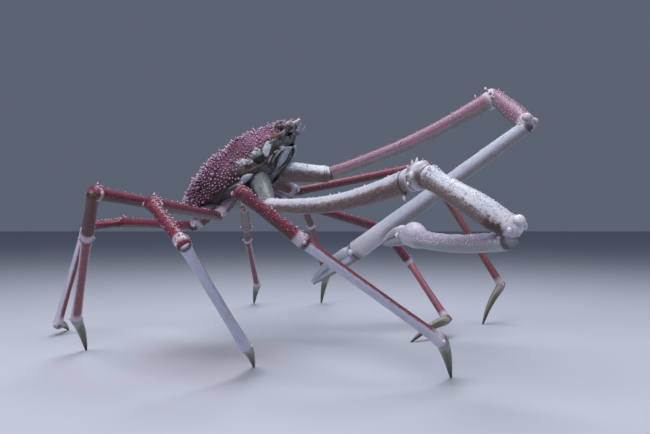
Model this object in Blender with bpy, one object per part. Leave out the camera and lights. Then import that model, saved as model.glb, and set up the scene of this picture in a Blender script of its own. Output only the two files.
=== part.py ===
"""A Japanese spider crab, still and life-size, standing on the floor. Metres, +Z up.

The body is built in its own frame, with x to the nose, y to the crab's left and z to its back,
and each limb is a chain of segments set by a compass turn from +X and a rise above level.
"""

import math
import random

import bmesh
import bpy
from mathutils import Matrix, Vector

# Body: sizes and stance
CARAPACE_LENGTH = 0.310
BODY_HEIGHT = 0.360
BODY_PLACE = Vector((-0.168, 1.520, BODY_HEIGHT))
HEADING = -32.0
NOSE_UP = 33.0
LEAN_RIGHT = 11.0

# Gap that parts any two nodes, and the level, in carapace lengths, that splits carapace from underside
GAP = 0.0003
PARTING_Z = -0.088
UNDERSIDE_INSET = 0.86

# Segment lengths of the first walking leg, and how the others compare
BASE_LENGTH = 0.060
MERUS_LENGTH = 0.340
CARPUS_LENGTH = 0.116
PROPODUS_LENGTH = 0.264
DACTYL_LENGTH = 0.108
LEG_SHARE = {1: 1.0, 2: 1.0, 3: 0.94, 4: 0.86}

# Segment lengths of the clawed limb
ARM_BASE_LENGTH = 0.100
ARM_MERUS_LENGTH = 0.385
ARM_CARPUS_LENGTH = 0.160
ARM_PALM_LENGTH = 0.450
FINGER_LENGTH = 0.110

# Half-thickness along each segment: (share of the length, radius)
BASE_FORM = ((0.0, 0.0115), (0.45, 0.0120), (1.0, 0.0105))
MERUS_FORM = ((0.0, 0.0098), (0.12, 0.0086), (0.55, 0.0092), (0.88, 0.0104), (1.0, 0.0118))
CARPUS_FORM = ((0.0, 0.0104), (0.25, 0.0090), (0.70, 0.0098), (1.0, 0.0102))
PROPODUS_FORM = ((0.0, 0.0090), (0.15, 0.0080), (0.60, 0.0080), (0.88, 0.0090), (1.0, 0.0104))
DACTYL_FORM = ((0.0, 0.0092), (0.15, 0.0074), (0.60, 0.0058), (1.0, 0.0026))
ARM_BASE_FORM = ((0.0, 0.0150), (0.5, 0.0160), (1.0, 0.0140))
ARM_MERUS_FORM = ((0.0, 0.0135), (0.12, 0.0130), (0.60, 0.0150), (0.88, 0.0175), (1.0, 0.0190))
ARM_CARPUS_FORM = ((0.0, 0.0165), (0.20, 0.0160), (0.65, 0.0200), (1.0, 0.0180))
ARM_PALM_FORM = ((0.0, 0.0135), (0.10, 0.0145), (0.45, 0.0170), (0.85, 0.0200), (1.0, 0.0185))
FINGER_FORM = ((0.0, 0.0095), (0.35, 0.0085), (0.75, 0.0060), (1.0, 0.0022))

# Where each limb leaves the body, in carapace lengths: forward, outward, down
LIMB_ROOT = {0: (0.140, 0.140, 0.150), 1: (0.047, 0.159, 0.159), 2: (-0.056, 0.173, 0.159),
             3: (-0.150, 0.168, 0.154), 4: (-0.234, 0.140, 0.140)}

# Pose: (turn, rise) of base, merus, carpus and propodus, then the dactyl's turn; its rise meets the floor
LEG_POSE = {
    ("right", 1): ((281, -39), (274, 2), (3, -38), (18, -35), 71),
    ("right", 2): ((229, -42), (262, 3), (308, -30), (72, -40), 87),
    ("right", 3): ((224, -18), (249, 5), (115, -42), (113, -38), 93),
    ("right", 4): ((185, -37), (133, 1), (235, -4), (164, -72), 94),
    ("left", 1): ((24, -21), (29, 11), (55, -37), (16, -55), 204),
    ("left", 2): ((14, -24), (49, -11), (24, -49), (282, -23), 214),
    ("left", 3): ((65, -6), (77, -2), (79, -29), (78, -37), 106),
    ("left", 4): ((89, -12), (95, -9), (94, -21), (87, -37), 103),
}
# Pose of the clawed limbs: (turn, rise) of base, merus, carpus, palm and fingers, and the merus's sag
ARM_POSE = {
    "right": ((289, -35), (310, 6), (324, -30), (103, -2), (108, -10)),
    "left": ((5, -3), (5, 25), (283, -28), (151, -34), (167, -36)),
}
MERUS_SAG = {"right": 0.018, "left": 0.012}

LEG_SIDES = 8
ARM_SIDES = 10
LEG_STEPS = (2, 6, 4, 5, 5)
ARM_STEPS = (3, 8, 6, 8)
FINGER_STEPS = 5
# Rings of a segment's rounded end: (share of the radius beyond the joint, share of the radius)
END_RINGS = ((0.85, 0.53), (0.45, 0.89))
# The two fingers: how far apart at the hinge as a share of the palm's end and at the tip, how deep the
# fixed one is sunk, how far ahead the moving one starts, and how it bows
HINGE_SHARE = 0.50
TIP_APART = 0.003
FIXED_SINK = 0.010
MOVING_START = 0.004
FINGER_BOW = 0.006

# Rows of tubercles on each segment: turn round it from its side over its top, count, first and last share
ROW_WANDER = 9.0
LEG_ROWS = {"merus": ((90, 2, 0.15, 0.80), (60, 1, 0.93, 0.99), (120, 1, 0.93, 0.99)),
            "carpus": ((65, 4, 0.10, 0.92), (115, 3, 0.10, 0.92))}
LEG_THORN = (0.0026, 0.0042)
ARM_ROWS = {"base": ((90, 2, 0.2, 0.8), (30, 2, 0.2, 0.8)),
            "merus": ((90, 8, 0.05, 0.92), (35, 6, 0.05, 0.92), (145, 6, 0.05, 0.92), (-60, 5, 0.10, 0.92),
                      (-120, 5, 0.10, 0.92)),
            "carpus": ((80, 6, 0.08, 0.92), (25, 4, 0.10, 0.90), (140, 4, 0.10, 0.90)),
            "palm": ((70, 7, 0.06, 0.90), (110, 7, 0.06, 0.90), (10, 6, 0.06, 0.90), (170, 5, 0.06, 0.90))}
ARM_THORN = (0.0030, 0.0056)
# The long spines round the far end of the clawed limb's upper segment: turn and height
COLLAR_SHARE = 0.955
COLLAR_SPINES = ((90, 0.013), (35, 0.009), (145, 0.009), (-25, 0.008), (-155, 0.008))
HOOK_SPINE = {"right": (0.90, -75, 0.014), "left": (0.90, 100, 0.010)}
LIMB_SEED = {"right": 11, "left": 23}

SHELL_RED = (0.36, 0.13, 0.13)
LEG_RED = (0.40, 0.10, 0.09)
LEG_PALE = (0.66, 0.58, 0.56)
CLAW_TIP = (0.20, 0.20, 0.14)
UNDER_PALE = (0.52, 0.46, 0.42)
EYE_BLACK = (0.02, 0.02, 0.025)


def clear_scene():
    for thing in list(bpy.data.objects):
        bpy.data.objects.remove(thing, do_unlink=True)


def material(name, colour, roughness):
    paint = bpy.data.materials.new(name)
    paint.use_nodes = True
    shader = paint.node_tree.nodes["Principled BSDF"]
    shader.inputs["Base Color"].default_value = (*colour, 1.0)
    shader.inputs["Roughness"].default_value = roughness
    return paint


def new_object(name, shape):
    """Turns a bmesh into an object in the scene."""
    bmesh.ops.recalc_face_normals(shape, faces=shape.faces)
    if shape.calc_volume(signed=True) < 0.0:
        bmesh.ops.reverse_faces(shape, faces=shape.faces)
    mesh = bpy.data.meshes.new(name)
    shape.to_mesh(mesh)
    shape.free()
    thing = bpy.data.objects.new(name, mesh)
    bpy.context.scene.collection.objects.link(thing)
    return thing


def shaped_ball(name, sides, steps, place):
    """A closed skin. place(step, turn) gives each point, from the first pole to the last."""
    shape = bmesh.new()
    bmesh.ops.create_uvsphere(shape, u_segments=sides, v_segments=steps, radius=1.0)
    for vertex in shape.verts:
        height = max(-1.0, min(1.0, vertex.co.z))
        step = round(math.acos(height) / math.pi * steps)
        vertex.co = place(step, math.atan2(vertex.co.y, vertex.co.x))
    return new_object(name, shape)


def between(points, at):
    """A smooth curve through (place, value) pairs, read at one place."""
    if at <= points[0][0]:
        return points[0][1]
    if at >= points[-1][0]:
        return points[-1][1]
    index = max(i for i in range(len(points) - 1) if points[i][0] <= at)

    def slope(i):
        low, high = max(i - 1, 0), min(i + 1, len(points) - 1)
        return (points[high][1] - points[low][1]) / (points[high][0] - points[low][0])

    (x0, y0), (x1, y1) = points[index], points[index + 1]
    span = x1 - x0
    t = (at - x0) / span
    rise = y0 * (1 + 2 * t) * (1 - t) ** 2 + y1 * t * t * (3 - 2 * t)
    return rise + slope(index) * span * t * (1 - t) ** 2 - slope(index + 1) * span * t * t * (1 - t)


def direction(turn, rise):
    turn, rise = math.radians(turn), math.radians(rise)
    level = math.cos(rise)
    return Vector((level * math.cos(turn), level * math.sin(turn), math.sin(rise)))


def body_frame():
    """The matrix that takes the body's own frame to the world."""
    nose = direction(HEADING, NOSE_UP)
    left = direction(HEADING + 90.0, 0.0)
    lean = Matrix.Rotation(math.radians(LEAN_RIGHT), 3, nose)
    left = lean @ left
    back = nose.cross(left)
    turned = Matrix((nose, left, back)).transposed().to_4x4()
    return Matrix.Translation(BODY_PLACE) @ turned


def largest_surface(thing):
    """Keeps only the largest closed surface of a mesh."""
    shape = bmesh.new()
    shape.from_mesh(thing.data)
    left, groups = set(shape.verts), []
    while left:
        group, front = set(), [left.pop()]
        while front:
            vertex = front.pop()
            group.add(vertex)
            for edge in vertex.link_edges:
                other = edge.other_vert(vertex)
                if other in left:
                    left.discard(other)
                    front.append(other)
        groups.append(group)

    def reach(group):
        spans = [max(v.co[i] for v in group) - min(v.co[i] for v in group) for i in range(3)]
        return sum(spans)

    groups.sort(key=reach)
    scraps = [vertex for group in groups[:-1] for vertex in group]
    bmesh.ops.delete(shape, geom=scraps, context="VERTS")
    shape.to_mesh(thing.data)
    shape.free()


def apply_modifiers(thing):
    """Replaces the object's mesh by its evaluated one."""
    graph = bpy.context.evaluated_depsgraph_get()
    finished = bpy.data.meshes.new_from_object(thing.evaluated_get(graph))
    thing.modifiers.clear()
    thing.data = finished


def join_pieces(thing, pieces):
    """One union of the object with all its small pieces, which are then removed."""
    if not pieces:
        return
    group = bpy.data.collections.new(thing.name + "_pieces")
    bpy.context.scene.collection.children.link(group)
    for piece in pieces:
        bpy.context.scene.collection.objects.unlink(piece)
        group.objects.link(piece)
    union = thing.modifiers.new("join", "BOOLEAN")
    union.operation = "UNION"
    union.operand_type = "COLLECTION"
    union.collection = group
    apply_modifiers(thing)
    for piece in pieces:
        bpy.data.objects.remove(piece, do_unlink=True)
    bpy.data.collections.remove(group)
    largest_surface(thing)


def cut_with(thing, cutters):
    """Takes the cutters' space out of the object. The cutters stay in the scene, hidden."""
    for cutter in cutters:
        cut = thing.modifiers.new("cut", "BOOLEAN")
        cut.operation = "DIFFERENCE"
        cut.object = cutter
    apply_modifiers(thing)
    largest_surface(thing)


def cut_plane(thing, point, normal):
    """Drops what lies beyond the plane, closes the cut and keeps the largest surface."""
    shape = bmesh.new()
    shape.from_mesh(thing.data)
    everything = shape.verts[:] + shape.edges[:] + shape.faces[:]
    bmesh.ops.bisect_plane(shape, geom=everything, dist=1e-7, plane_co=point, plane_no=normal,
                           clear_outer=True)
    bmesh.ops.holes_fill(shape, edges=[edge for edge in shape.edges if edge.is_boundary], sides=0)
    bmesh.ops.recalc_face_normals(shape, faces=shape.faces)
    shape.to_mesh(thing.data)
    shape.free()
    largest_surface(thing)


def hide_cutter(cutter):
    cutter.hide_render = True
    cutter.display_type = "WIRE"
    return cutter


def finish_node(thing, paint):
    thing.data.materials.clear()
    thing.data.materials.append(paint)
    return thing


# The body's skin, in carapace lengths along x: its widest line, half-width, top and bottom from that line
SKIN_LINE = ((-0.488, -0.005), (-0.40, -0.040), (-0.25, -0.075), (0.0, -0.085), (0.20, -0.075),
             (0.35, -0.045), (0.42, -0.020), (0.47, -0.012))
WIDTH = ((-0.488, 0.05), (-0.455, 0.14), (-0.37, 0.255), (-0.22, 0.350), (-0.07, 0.385), (0.07, 0.360),
         (0.19, 0.280), (0.285, 0.195), (0.36, 0.135), (0.42, 0.100), (0.47, 0.045))
TOP = ((-0.488, 0.028), (-0.455, 0.062), (-0.37, 0.118), (-0.26, 0.162), (-0.12, 0.180), (0.02, 0.208),
       (0.14, 0.195), (0.25, 0.166), (0.34, 0.128), (0.41, 0.074), (0.47, 0.024))
BOTTOM = ((-0.488, 0.025), (-0.43, 0.060), (-0.32, 0.085), (-0.10, 0.105), (0.12, 0.105), (0.24, 0.088),
          (0.33, 0.060), (0.40, 0.040), (0.47, 0.015))
# Swellings of the carapace: place forward, place outward, spread, height
SWELLINGS = ((0.15, 0.0, 0.10, 0.026), (-0.13, 0.0, 0.08, 0.022), (-0.10, 0.21, 0.12, 0.026),
             (0.19, 0.19, 0.065, 0.026), (-0.29, 0.0, 0.07, 0.012))
SHELL_STEPS = 24
SHELL_SIDES = 28
# How boxy the skin's cross-section is, and how high it must be before a swelling takes its full height
ACROSS_POWER, TOP_POWER, BOTTOM_POWER = 0.90, 0.85, 0.80
SWELL_START = 0.08
SMALL_STEP = 0.01

# Spines and tubercles: sides, sunk root, and the waist's share of the height and of the radius
THORN_SIDES = 5
THORN_ROOT = 0.0035
WAIST_PLACE, WAIST_RADIUS = 0.45, 0.66
SPINE_SLIMNESS = 0.36
# Spines of the head, in carapace lengths (forward, outward, up), then their way, height and radius:
# rostrum, over the eye, behind the eye, cheek
HEAD_SPINES = (((0.445, 0.022, 0.004), (1.0, 0.30, 0.15), 0.028, 0.0060),
               ((0.400, 0.078, 0.030), (0.5, 0.55, 0.70), 0.013, 0.0042),
               ((0.350, 0.125, -0.010), (0.35, 1.0, 0.25), 0.015, 0.0046),
               ((0.270, 0.195, -0.040), (0.30, 1.0, 0.15), 0.015, 0.0050))
# Spines of the back: place forward in carapace lengths, turn over the back from the left, height
BACK_SPINES = ((0.33, 90.0, 0.009), (0.22, 90.0, 0.011), (0.10, 90.0, 0.011), (-0.12, 90.0, 0.011),
               (-0.29, 90.0, 0.010), (-0.43, 90.0, 0.009), (0.19, 48.0, 0.010), (0.05, 60.0, 0.009),
               (-0.05, 38.0, 0.011), (-0.20, 52.0, 0.010), (0.14, 14.0, 0.012), (0.02, 12.0, 0.013),
               (-0.11, 12.0, 0.013), (-0.24, 14.0, 0.012), (-0.36, 20.0, 0.010))
TUBERCLE_SEED = 7
TUBERCLE_TRIES = 900
TUBERCLE_ALONG = (-0.46, 0.37)
TUBERCLE_TURN = (10.0, 170.0)
TUBERCLE_HEIGHT = (0.0035, 0.0070)
TUBERCLE_STOUTNESS = 0.62
TUBERCLE_SPACING = 0.0215


def body_step(step, steps):
    """Place along the body of one ring, closer together towards both ends."""
    front, rear = WIDTH[-1][0], WIDTH[0][0]
    return (front + rear) / 2 + (front - rear) / 2 * math.cos(math.pi * step / steps)


def skin_point(along, turn, inset):
    """A point of the body's skin in its own frame, in carapace lengths."""
    width = between(WIDTH, along) * inset
    across = math.copysign(abs(math.cos(turn)) ** ACROSS_POWER, math.cos(turn)) * width
    line = between(SKIN_LINE, along)
    if math.sin(turn) < 0.0:
        return Vector((along, across, line - between(BOTTOM, along) * abs(math.sin(turn)) ** BOTTOM_POWER))
    height = between(TOP, along) * math.sin(turn) ** TOP_POWER
    for forward, outward, spread, swell in SWELLINGS:
        away = ((along - forward) ** 2 + (abs(across) - outward) ** 2) / spread ** 2
        height += swell * math.exp(-away) * min(1.0, height / SWELL_START)
    return Vector((along, across, line + height))


def shell(name, frame, inset, grow):
    """The whole body's skin as one closed mesh, grown outwards by a little for a cutter."""
    def place(step, turn):
        along = body_step(step, SHELL_STEPS)
        point = skin_point(along, turn, inset)
        outward = Vector((0.0, math.cos(turn), math.sin(turn)))
        if step in (0, SHELL_STEPS):
            point = Vector((along, 0.0, between(SKIN_LINE, along)))
            outward = Vector((1.0 if step == 0 else -1.0, 0.0, 0.0))
        return frame @ (point * CARAPACE_LENGTH + outward * grow)

    return shaped_ball(name, SHELL_SIDES, SHELL_STEPS, place)


def skin_spot(frame, along, turn):
    """A point of the carapace in the world, and the way out of it."""
    turn = math.radians(turn)
    here = skin_point(along, turn, 1.0)
    ahead = skin_point(along + SMALL_STEP, turn, 1.0) - here
    around = skin_point(along, turn + SMALL_STEP, 1.0) - here
    out = ahead.cross(around).normalized()
    if out.z < 0.0:
        out.negate()
    return frame @ (here * CARAPACE_LENGTH), frame.to_3x3() @ out


def thorn(spot, way, height, radius):
    """A closed spine or tubercle whose root is sunk under the skin."""
    shape = bmesh.new()
    waist = height * WAIST_PLACE
    bmesh.ops.create_cone(shape, cap_ends=True, segments=THORN_SIDES, radius1=radius,
                          radius2=radius * WAIST_RADIUS, depth=THORN_ROOT + waist)
    top = max(shape.faces, key=lambda face: face.calc_center_median().z)
    crown = bmesh.ops.poke(shape, faces=[top])["verts"][0]
    bmesh.ops.translate(shape, verts=shape.verts, vec=(0.0, 0.0, (waist - THORN_ROOT) / 2))
    crown.co.z = height
    shape.transform(Matrix.Translation(spot) @ way.to_track_quat("Z", "Y").to_matrix().to_4x4())
    return new_object("thorn", shape)


def carapace_thorns(frame):
    """The named spines of both sides, then seeded tubercles spread over the back."""
    made, spots = [], []
    for place, way, height, radius in HEAD_SPINES:
        for side in (1, -1):
            spot = frame @ (Vector((place[0], place[1] * side, place[2])) * CARAPACE_LENGTH)
            out = frame.to_3x3() @ Vector((way[0], way[1] * side, way[2])).normalized()
            made.append(thorn(spot, out, height, radius))
            spots.append(spot)
    for along, turn, height in BACK_SPINES:
        for side_turn in {turn, 180.0 - turn}:
            spot, out = skin_spot(frame, along, side_turn)
            made.append(thorn(spot, out, height, height * SPINE_SLIMNESS))
            spots.append(spot)
    draw = random.Random(TUBERCLE_SEED)
    for _ in range(TUBERCLE_TRIES):
        along, turn = draw.uniform(*TUBERCLE_ALONG), draw.uniform(*TUBERCLE_TURN)
        height = draw.uniform(*TUBERCLE_HEIGHT)
        spot, out = skin_spot(frame, along, turn)
        if min((spot - other).length for other in spots) < TUBERCLE_SPACING:
            continue
        made.append(thorn(spot, out, height, height * TUBERCLE_STOUTNESS))
        spots.append(spot)
    return made


def rounded_stations(length, form, grow, inner_steps):
    """(distance, radius) pairs of a segment whose two ends are half balls."""
    first, last = form[0][1] + grow, form[-1][1] + grow
    stations = [(-first, 0.0)] + [(-first * out, first * width) for out, width in END_RINGS]
    for step in range(inner_steps + 1):
        share = step / inner_steps
        stations.append((share * length, between(form, share) + grow))
    stations += [(length + last * out, last * width) for out, width in reversed(END_RINGS)]
    stations.append((length + last, 0.0))
    return stations


def side_frame(axis, up=Vector((0.0, 0.0, 1.0))):
    """Two unit vectors square to the axis: as far up as may be, and to the side."""
    if abs(axis.dot(up)) > 0.97:
        up = Vector((1.0, 0.0, 0.0))
    top = (up - axis * axis.dot(up)).normalized()
    return top, axis.cross(top)


def limb_spot(start, end, share, turn, radius, bow=0.0, depth=1.0):
    """A point at some radius from a segment's centre line, and the way out there."""
    axis = (end - start).normalized()
    top, side = side_frame(axis)
    inside = max(0.0, min(1.0, share))
    middle = start + (end - start) * share + top * (bow * math.sin(math.pi * inside))
    out = top * (math.sin(turn) * depth) + side * math.cos(turn)
    return middle + out * radius, out


def segment(name, start, end, form, sides, steps, bow=0.0, grow=0.0, depth=1.0):
    """A limb segment from joint to joint. bow lifts its middle, depth scales it top to bottom."""
    length = (end - start).length
    stations = rounded_stations(length, form, grow, steps)

    def place(step, turn):
        distance, radius = stations[step]
        return limb_spot(start, end, distance / length, turn, radius, bow, depth)[0]

    return shaped_ball(name, sides, len(stations) - 1, place)


def limb_thorns(start, end, form, rows, heights, draw, bow=0.0):
    """Rows of spines along a segment. Each row is (turn, count, first share, last share)."""
    made = []
    for turn, count, first, last in rows:
        for index in range(count):
            share = first + (last - first) * (index + draw.uniform(0.3, 0.7)) / count
            angle = math.radians(turn + draw.uniform(-ROW_WANDER, ROW_WANDER))
            spot, out = limb_spot(start, end, share, angle, between(form, share), bow)
            height = draw.uniform(*heights)
            made.append(thorn(spot, out, height, height * TUBERCLE_STOUTNESS))
    return made


def joint_cut(before, after, joint, way_in, way_out):
    """Parts two segments by the plane that halves the bend, a thin gap wide."""
    normal = (way_in + way_out).normalized()
    cut_plane(before, joint - normal * (GAP / 2), normal)
    cut_plane(after, joint + normal * (GAP / 2), -normal)


def limb_root(frame, side, number):
    forward, outward, down = LIMB_ROOT[number]
    across = outward if side == "left" else -outward
    return frame @ (Vector((forward, across, -down)) * CARAPACE_LENGTH)


def chain(root, ways, lengths):
    """The joints of a limb, from its root out."""
    joints = [root]
    for way, length in zip(ways, lengths):
        joints.append(joints[-1] + way * length)
    return joints


def build_leg(frame, side, number, paints, body_cutters):
    share = LEG_SHARE[number]
    lengths = [BASE_LENGTH, MERUS_LENGTH * share, CARPUS_LENGTH * share, PROPODUS_LENGTH * share,
               DACTYL_LENGTH * share]
    *pose, last_turn = LEG_POSE[(side, number)]
    ways = [direction(turn, rise) for turn, rise in pose]
    joints = chain(limb_root(frame, side, number), ways, lengths)
    drop = math.degrees(math.asin(joints[-1].z / lengths[4]))
    ways.append(direction(last_turn, -drop))
    joints.append(joints[-1] + ways[-1] * lengths[4])
    names = ["base", "merus", "carpus", "propodus", "dactyl"]
    forms = [BASE_FORM, MERUS_FORM, CARPUS_FORM, PROPODUS_FORM, DACTYL_FORM]
    draw = random.Random(LIMB_SEED[side] + number)
    pieces = []
    for index, name in enumerate(names):
        title = f"{side}_leg_{number}_{name}"
        start, end, form = joints[index], joints[index + 1], forms[index]
        piece = segment(title, start, end, form, LEG_SIDES, LEG_STEPS[index])
        join_pieces(piece, limb_thorns(start, end, form, LEG_ROWS.get(name, ()), LEG_THORN, draw))
        pieces.append(piece)
    for index in range(1, len(pieces)):
        joint_cut(pieces[index - 1], pieces[index], joints[index], ways[index - 1], ways[index])
    cut_with(pieces[0], body_cutters)
    cut_plane(pieces[-1], Vector((0.0, 0.0, 0.0)), Vector((0.0, 0.0, -1.0)))
    for piece, paint in zip(pieces, [paints["leg"]] * 3 + [paints["pale"], paints["claw"]]):
        finish_node(piece, paint)
    return pieces


def build_arm(frame, side, paints, body_cutters):
    lengths = [ARM_BASE_LENGTH, ARM_MERUS_LENGTH, ARM_CARPUS_LENGTH, ARM_PALM_LENGTH, FINGER_LENGTH]
    ways = [direction(turn, rise) for turn, rise in ARM_POSE[side]]
    joints = chain(limb_root(frame, side, 0), ways, lengths)
    names = ["base", "merus", "carpus", "palm"]
    forms = [ARM_BASE_FORM, ARM_MERUS_FORM, ARM_CARPUS_FORM, ARM_PALM_FORM]
    draw = random.Random(LIMB_SEED[side])
    pieces, thorns = [], []
    for index, name in enumerate(names):
        bow = -MERUS_SAG[side] if name == "merus" else 0.0
        start, end, form = joints[index], joints[index + 1], forms[index]
        pieces.append(segment(f"{side}_arm_{name}", start, end, form, ARM_SIDES, ARM_STEPS[index], bow))
        made = limb_thorns(start, end, form, ARM_ROWS[name], ARM_THORN, draw, bow)
        if name == "merus":
            collar = [(COLLAR_SHARE, turn, height) for turn, height in COLLAR_SPINES]
            for share, turn, height in [*collar, HOOK_SPINE[side]]:
                spot, out = limb_spot(start, end, share, math.radians(turn), between(form, share), bow)
                made.append(thorn(spot, out, height, height * SPINE_SLIMNESS))
        thorns.append(made)
    # The fixed finger grows from the palm below, and the moving finger sits above it
    hinge, tip = joints[4], joints[5]
    top, _ = side_frame(ways[4])
    spread = top * (ARM_PALM_FORM[-1][1] * HINGE_SHARE)
    fixed = segment("fixed", hinge - spread - ways[4] * FIXED_SINK, tip - top * TIP_APART, FINGER_FORM,
                    LEG_SIDES, FINGER_STEPS)
    thorns[3].append(fixed)
    for piece, made in zip(pieces, thorns):
        join_pieces(piece, made)
    moving = (hinge + spread + ways[4] * MOVING_START, tip + top * TIP_APART, FINGER_FORM, LEG_SIDES,
              FINGER_STEPS, FINGER_BOW)
    finger = segment(f"{side}_arm_finger", *moving)
    cutter = segment(f"{side}_finger_cutter", *moving, GAP)
    cut_with(pieces[3], [hide_cutter(cutter)])
    for index in range(1, len(pieces)):
        joint_cut(pieces[index - 1], pieces[index], joints[index], ways[index - 1], ways[index])
    cut_with(pieces[0], body_cutters)
    for piece in pieces:
        finish_node(piece, paints["arm"])
    finish_node(finger, paints["claw"])
    return pieces + [finger]


def build_body(frame, paints):
    """The carapace, the underside and the cutters that keep other nodes clear of both."""
    back = frame.to_3x3() @ Vector((0.0, 0.0, 1.0))
    margin = frame @ Vector((0.0, 0.0, PARTING_Z * CARAPACE_LENGTH))
    carapace = shell("carapace", frame, 1.0, 0.0)
    join_pieces(carapace, carapace_thorns(frame))
    cut_plane(carapace, margin + back * (GAP / 2), -back)
    underside = shell("underside", frame, UNDERSIDE_INSET, 0.0)
    cut_plane(underside, margin - back * (GAP / 2), back)
    upper = shell("carapace_cutter", frame, 1.0, GAP)
    cut_plane(upper, margin - back * (GAP / 2), -back)
    lower = shell("underside_cutter", frame, UNDERSIDE_INSET, GAP)
    finish_node(carapace, paints["shell"])
    finish_node(underside, paints["under"])
    return [carapace, underside], [hide_cutter(upper), hide_cutter(lower)]


# Small parts of the body, in carapace lengths: forward, outward, up from the body's centre line
EYE_ROOT = (0.395, 0.060, 0.004)
EYE_END = (0.432, 0.098, 0.010)
EYE_FORM = ((0.0, 0.0055), (0.5, 0.0060), (1.0, 0.0080))
ANTENNA_ROOT = (0.385, 0.075, -0.055)
ANTENNA_PLACES = ((0.435, 0.105, -0.062), (0.475, 0.112, -0.055), (0.51, 0.12, -0.035),
                  (0.56, 0.14, -0.015))
MOUTH_ROOT = (0.105, 0.056, -0.180)
MOUTH_END = (0.325, 0.046, -0.100)
MOUTH_FORM = ((0.0, 0.0150), (0.45, 0.0155), (1.0, 0.0100))
MOUTH_FLATNESS, ABDOMEN_FLATNESS = 0.7, 0.45
SMALL_SIDES = 10
EYE_STEPS, MOUTH_STEPS, ABDOMEN_STEPS = 2, 4, 6
ABDOMEN_REAR = (-0.33, 0.0, -0.150)
ABDOMEN_FRONT = (0.05, 0.0, -0.190)
ABDOMEN_FORM = ((0.0, 0.0240), (0.5, 0.0190), (1.0, 0.0110))


def body_point(frame, place, side):
    forward, outward, up = place
    across = outward if side == "left" else -outward
    return frame @ (Vector((forward, across, up)) * CARAPACE_LENGTH)


def build_small_parts(frame, paints, body_cutters):
    made = []
    for side in ("right", "left"):
        eye = segment(f"{side}_eye", body_point(frame, EYE_ROOT, side), body_point(frame, EYE_END, side),
                      EYE_FORM, SMALL_SIDES, EYE_STEPS)
        cut_with(eye, body_cutters)
        made.append(finish_node(eye, paints["eye"]))
        mouth = segment(f"{side}_maxilliped", body_point(frame, MOUTH_ROOT, side),
                        body_point(frame, MOUTH_END, side), MOUTH_FORM, SMALL_SIDES, MOUTH_STEPS, 0.0, 0.0,
                        MOUTH_FLATNESS)
        cut_with(mouth, body_cutters)
        made.append(finish_node(mouth, paints["under"]))
        made.append(build_antenna(frame, side, paints, body_cutters))
    abdomen = segment("abdomen", body_point(frame, ABDOMEN_REAR, "left"),
                      body_point(frame, ABDOMEN_FRONT, "left"), ABDOMEN_FORM, SMALL_SIDES, ABDOMEN_STEPS, 0.0,
                      0.0, ABDOMEN_FLATNESS)
    cut_with(abdomen, body_cutters)
    made.append(finish_node(abdomen, paints["under"]))
    return made


ANTENNA_SIDES, ANTENNA_STEPS = 6, 10
# How far ahead and behind the antenna's run is read, as a share of its length
LOOK_SHARE = 0.02
ANTENNA_THICK = ((0.0, 0.0042), (0.45, 0.0036), (0.60, 0.0020), (1.0, 0.0008))


def build_antenna(frame, side, paints, body_cutters):
    """A stout base of three joints, then a short thin whip."""
    places = [ANTENNA_ROOT, *ANTENNA_PLACES]
    points = [body_point(frame, place, side) for place in places]

    def centre(share):
        spots = [(index / (len(points) - 1), point) for index, point in enumerate(points)]
        return Vector([between([(at, spot[axis]) for at, spot in spots], share) for axis in range(3)])

    def place(step, turn):
        share = step / ANTENNA_STEPS
        ahead = centre(min(1.0, share + LOOK_SHARE)) - centre(max(0.0, share - LOOK_SHARE))
        top, across = side_frame(ahead.normalized())
        radius = 0.0 if step in (0, ANTENNA_STEPS) else between(ANTENNA_THICK, share)
        return centre(share) + (top * math.sin(turn) + across * math.cos(turn)) * radius

    antenna = shaped_ball(f"{side}_antenna", ANTENNA_SIDES, ANTENNA_STEPS, place)
    cut_with(antenna, body_cutters)
    return finish_node(antenna, paints["pale"])


def stand_on_origin(things):
    """Puts everything under one empty, so that the origin is under the middle of the whole crab."""
    lows = [min((thing.matrix_world @ v.co)[i] for thing in things for v in thing.data.vertices)
            for i in range(3)]
    highs = [max((thing.matrix_world @ v.co)[i] for thing in things for v in thing.data.vertices)
             for i in range(3)]
    holder = bpy.data.objects.new("crab", None)
    bpy.context.scene.collection.objects.link(holder)
    holder.location = (-(lows[0] + highs[0]) / 2, -(lows[1] + highs[1]) / 2, -lows[2])
    for thing in things:
        thing.parent = holder
    for cutter in [item for item in bpy.data.objects if item.hide_render]:
        cutter.parent = holder


def main():
    clear_scene()
    paints = {
        "shell": material("shell", SHELL_RED, 0.6),
        "under": material("underside", UNDER_PALE, 0.6),
        "leg": material("leg", LEG_RED, 0.5),
        "pale": material("pale_leg", LEG_PALE, 0.5),
        "arm": material("arm", LEG_PALE, 0.5),
        "claw": material("claw_tip", CLAW_TIP, 0.45),
        "eye": material("eye", EYE_BLACK, 0.15),
    }
    frame = body_frame()
    things, body_cutters = build_body(frame, paints)
    things += build_small_parts(frame, paints, body_cutters)
    for side, number in LEG_POSE:
        things += build_leg(frame, side, number, paints, body_cutters)
    for side in ARM_POSE:
        things += build_arm(frame, side, paints, body_cutters)
    stand_on_origin(things)


main()
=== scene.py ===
import itertools
import math
import random

import bmesh
import bpy
import numpy as np
from mathutils import Matrix, Vector, noise


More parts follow.
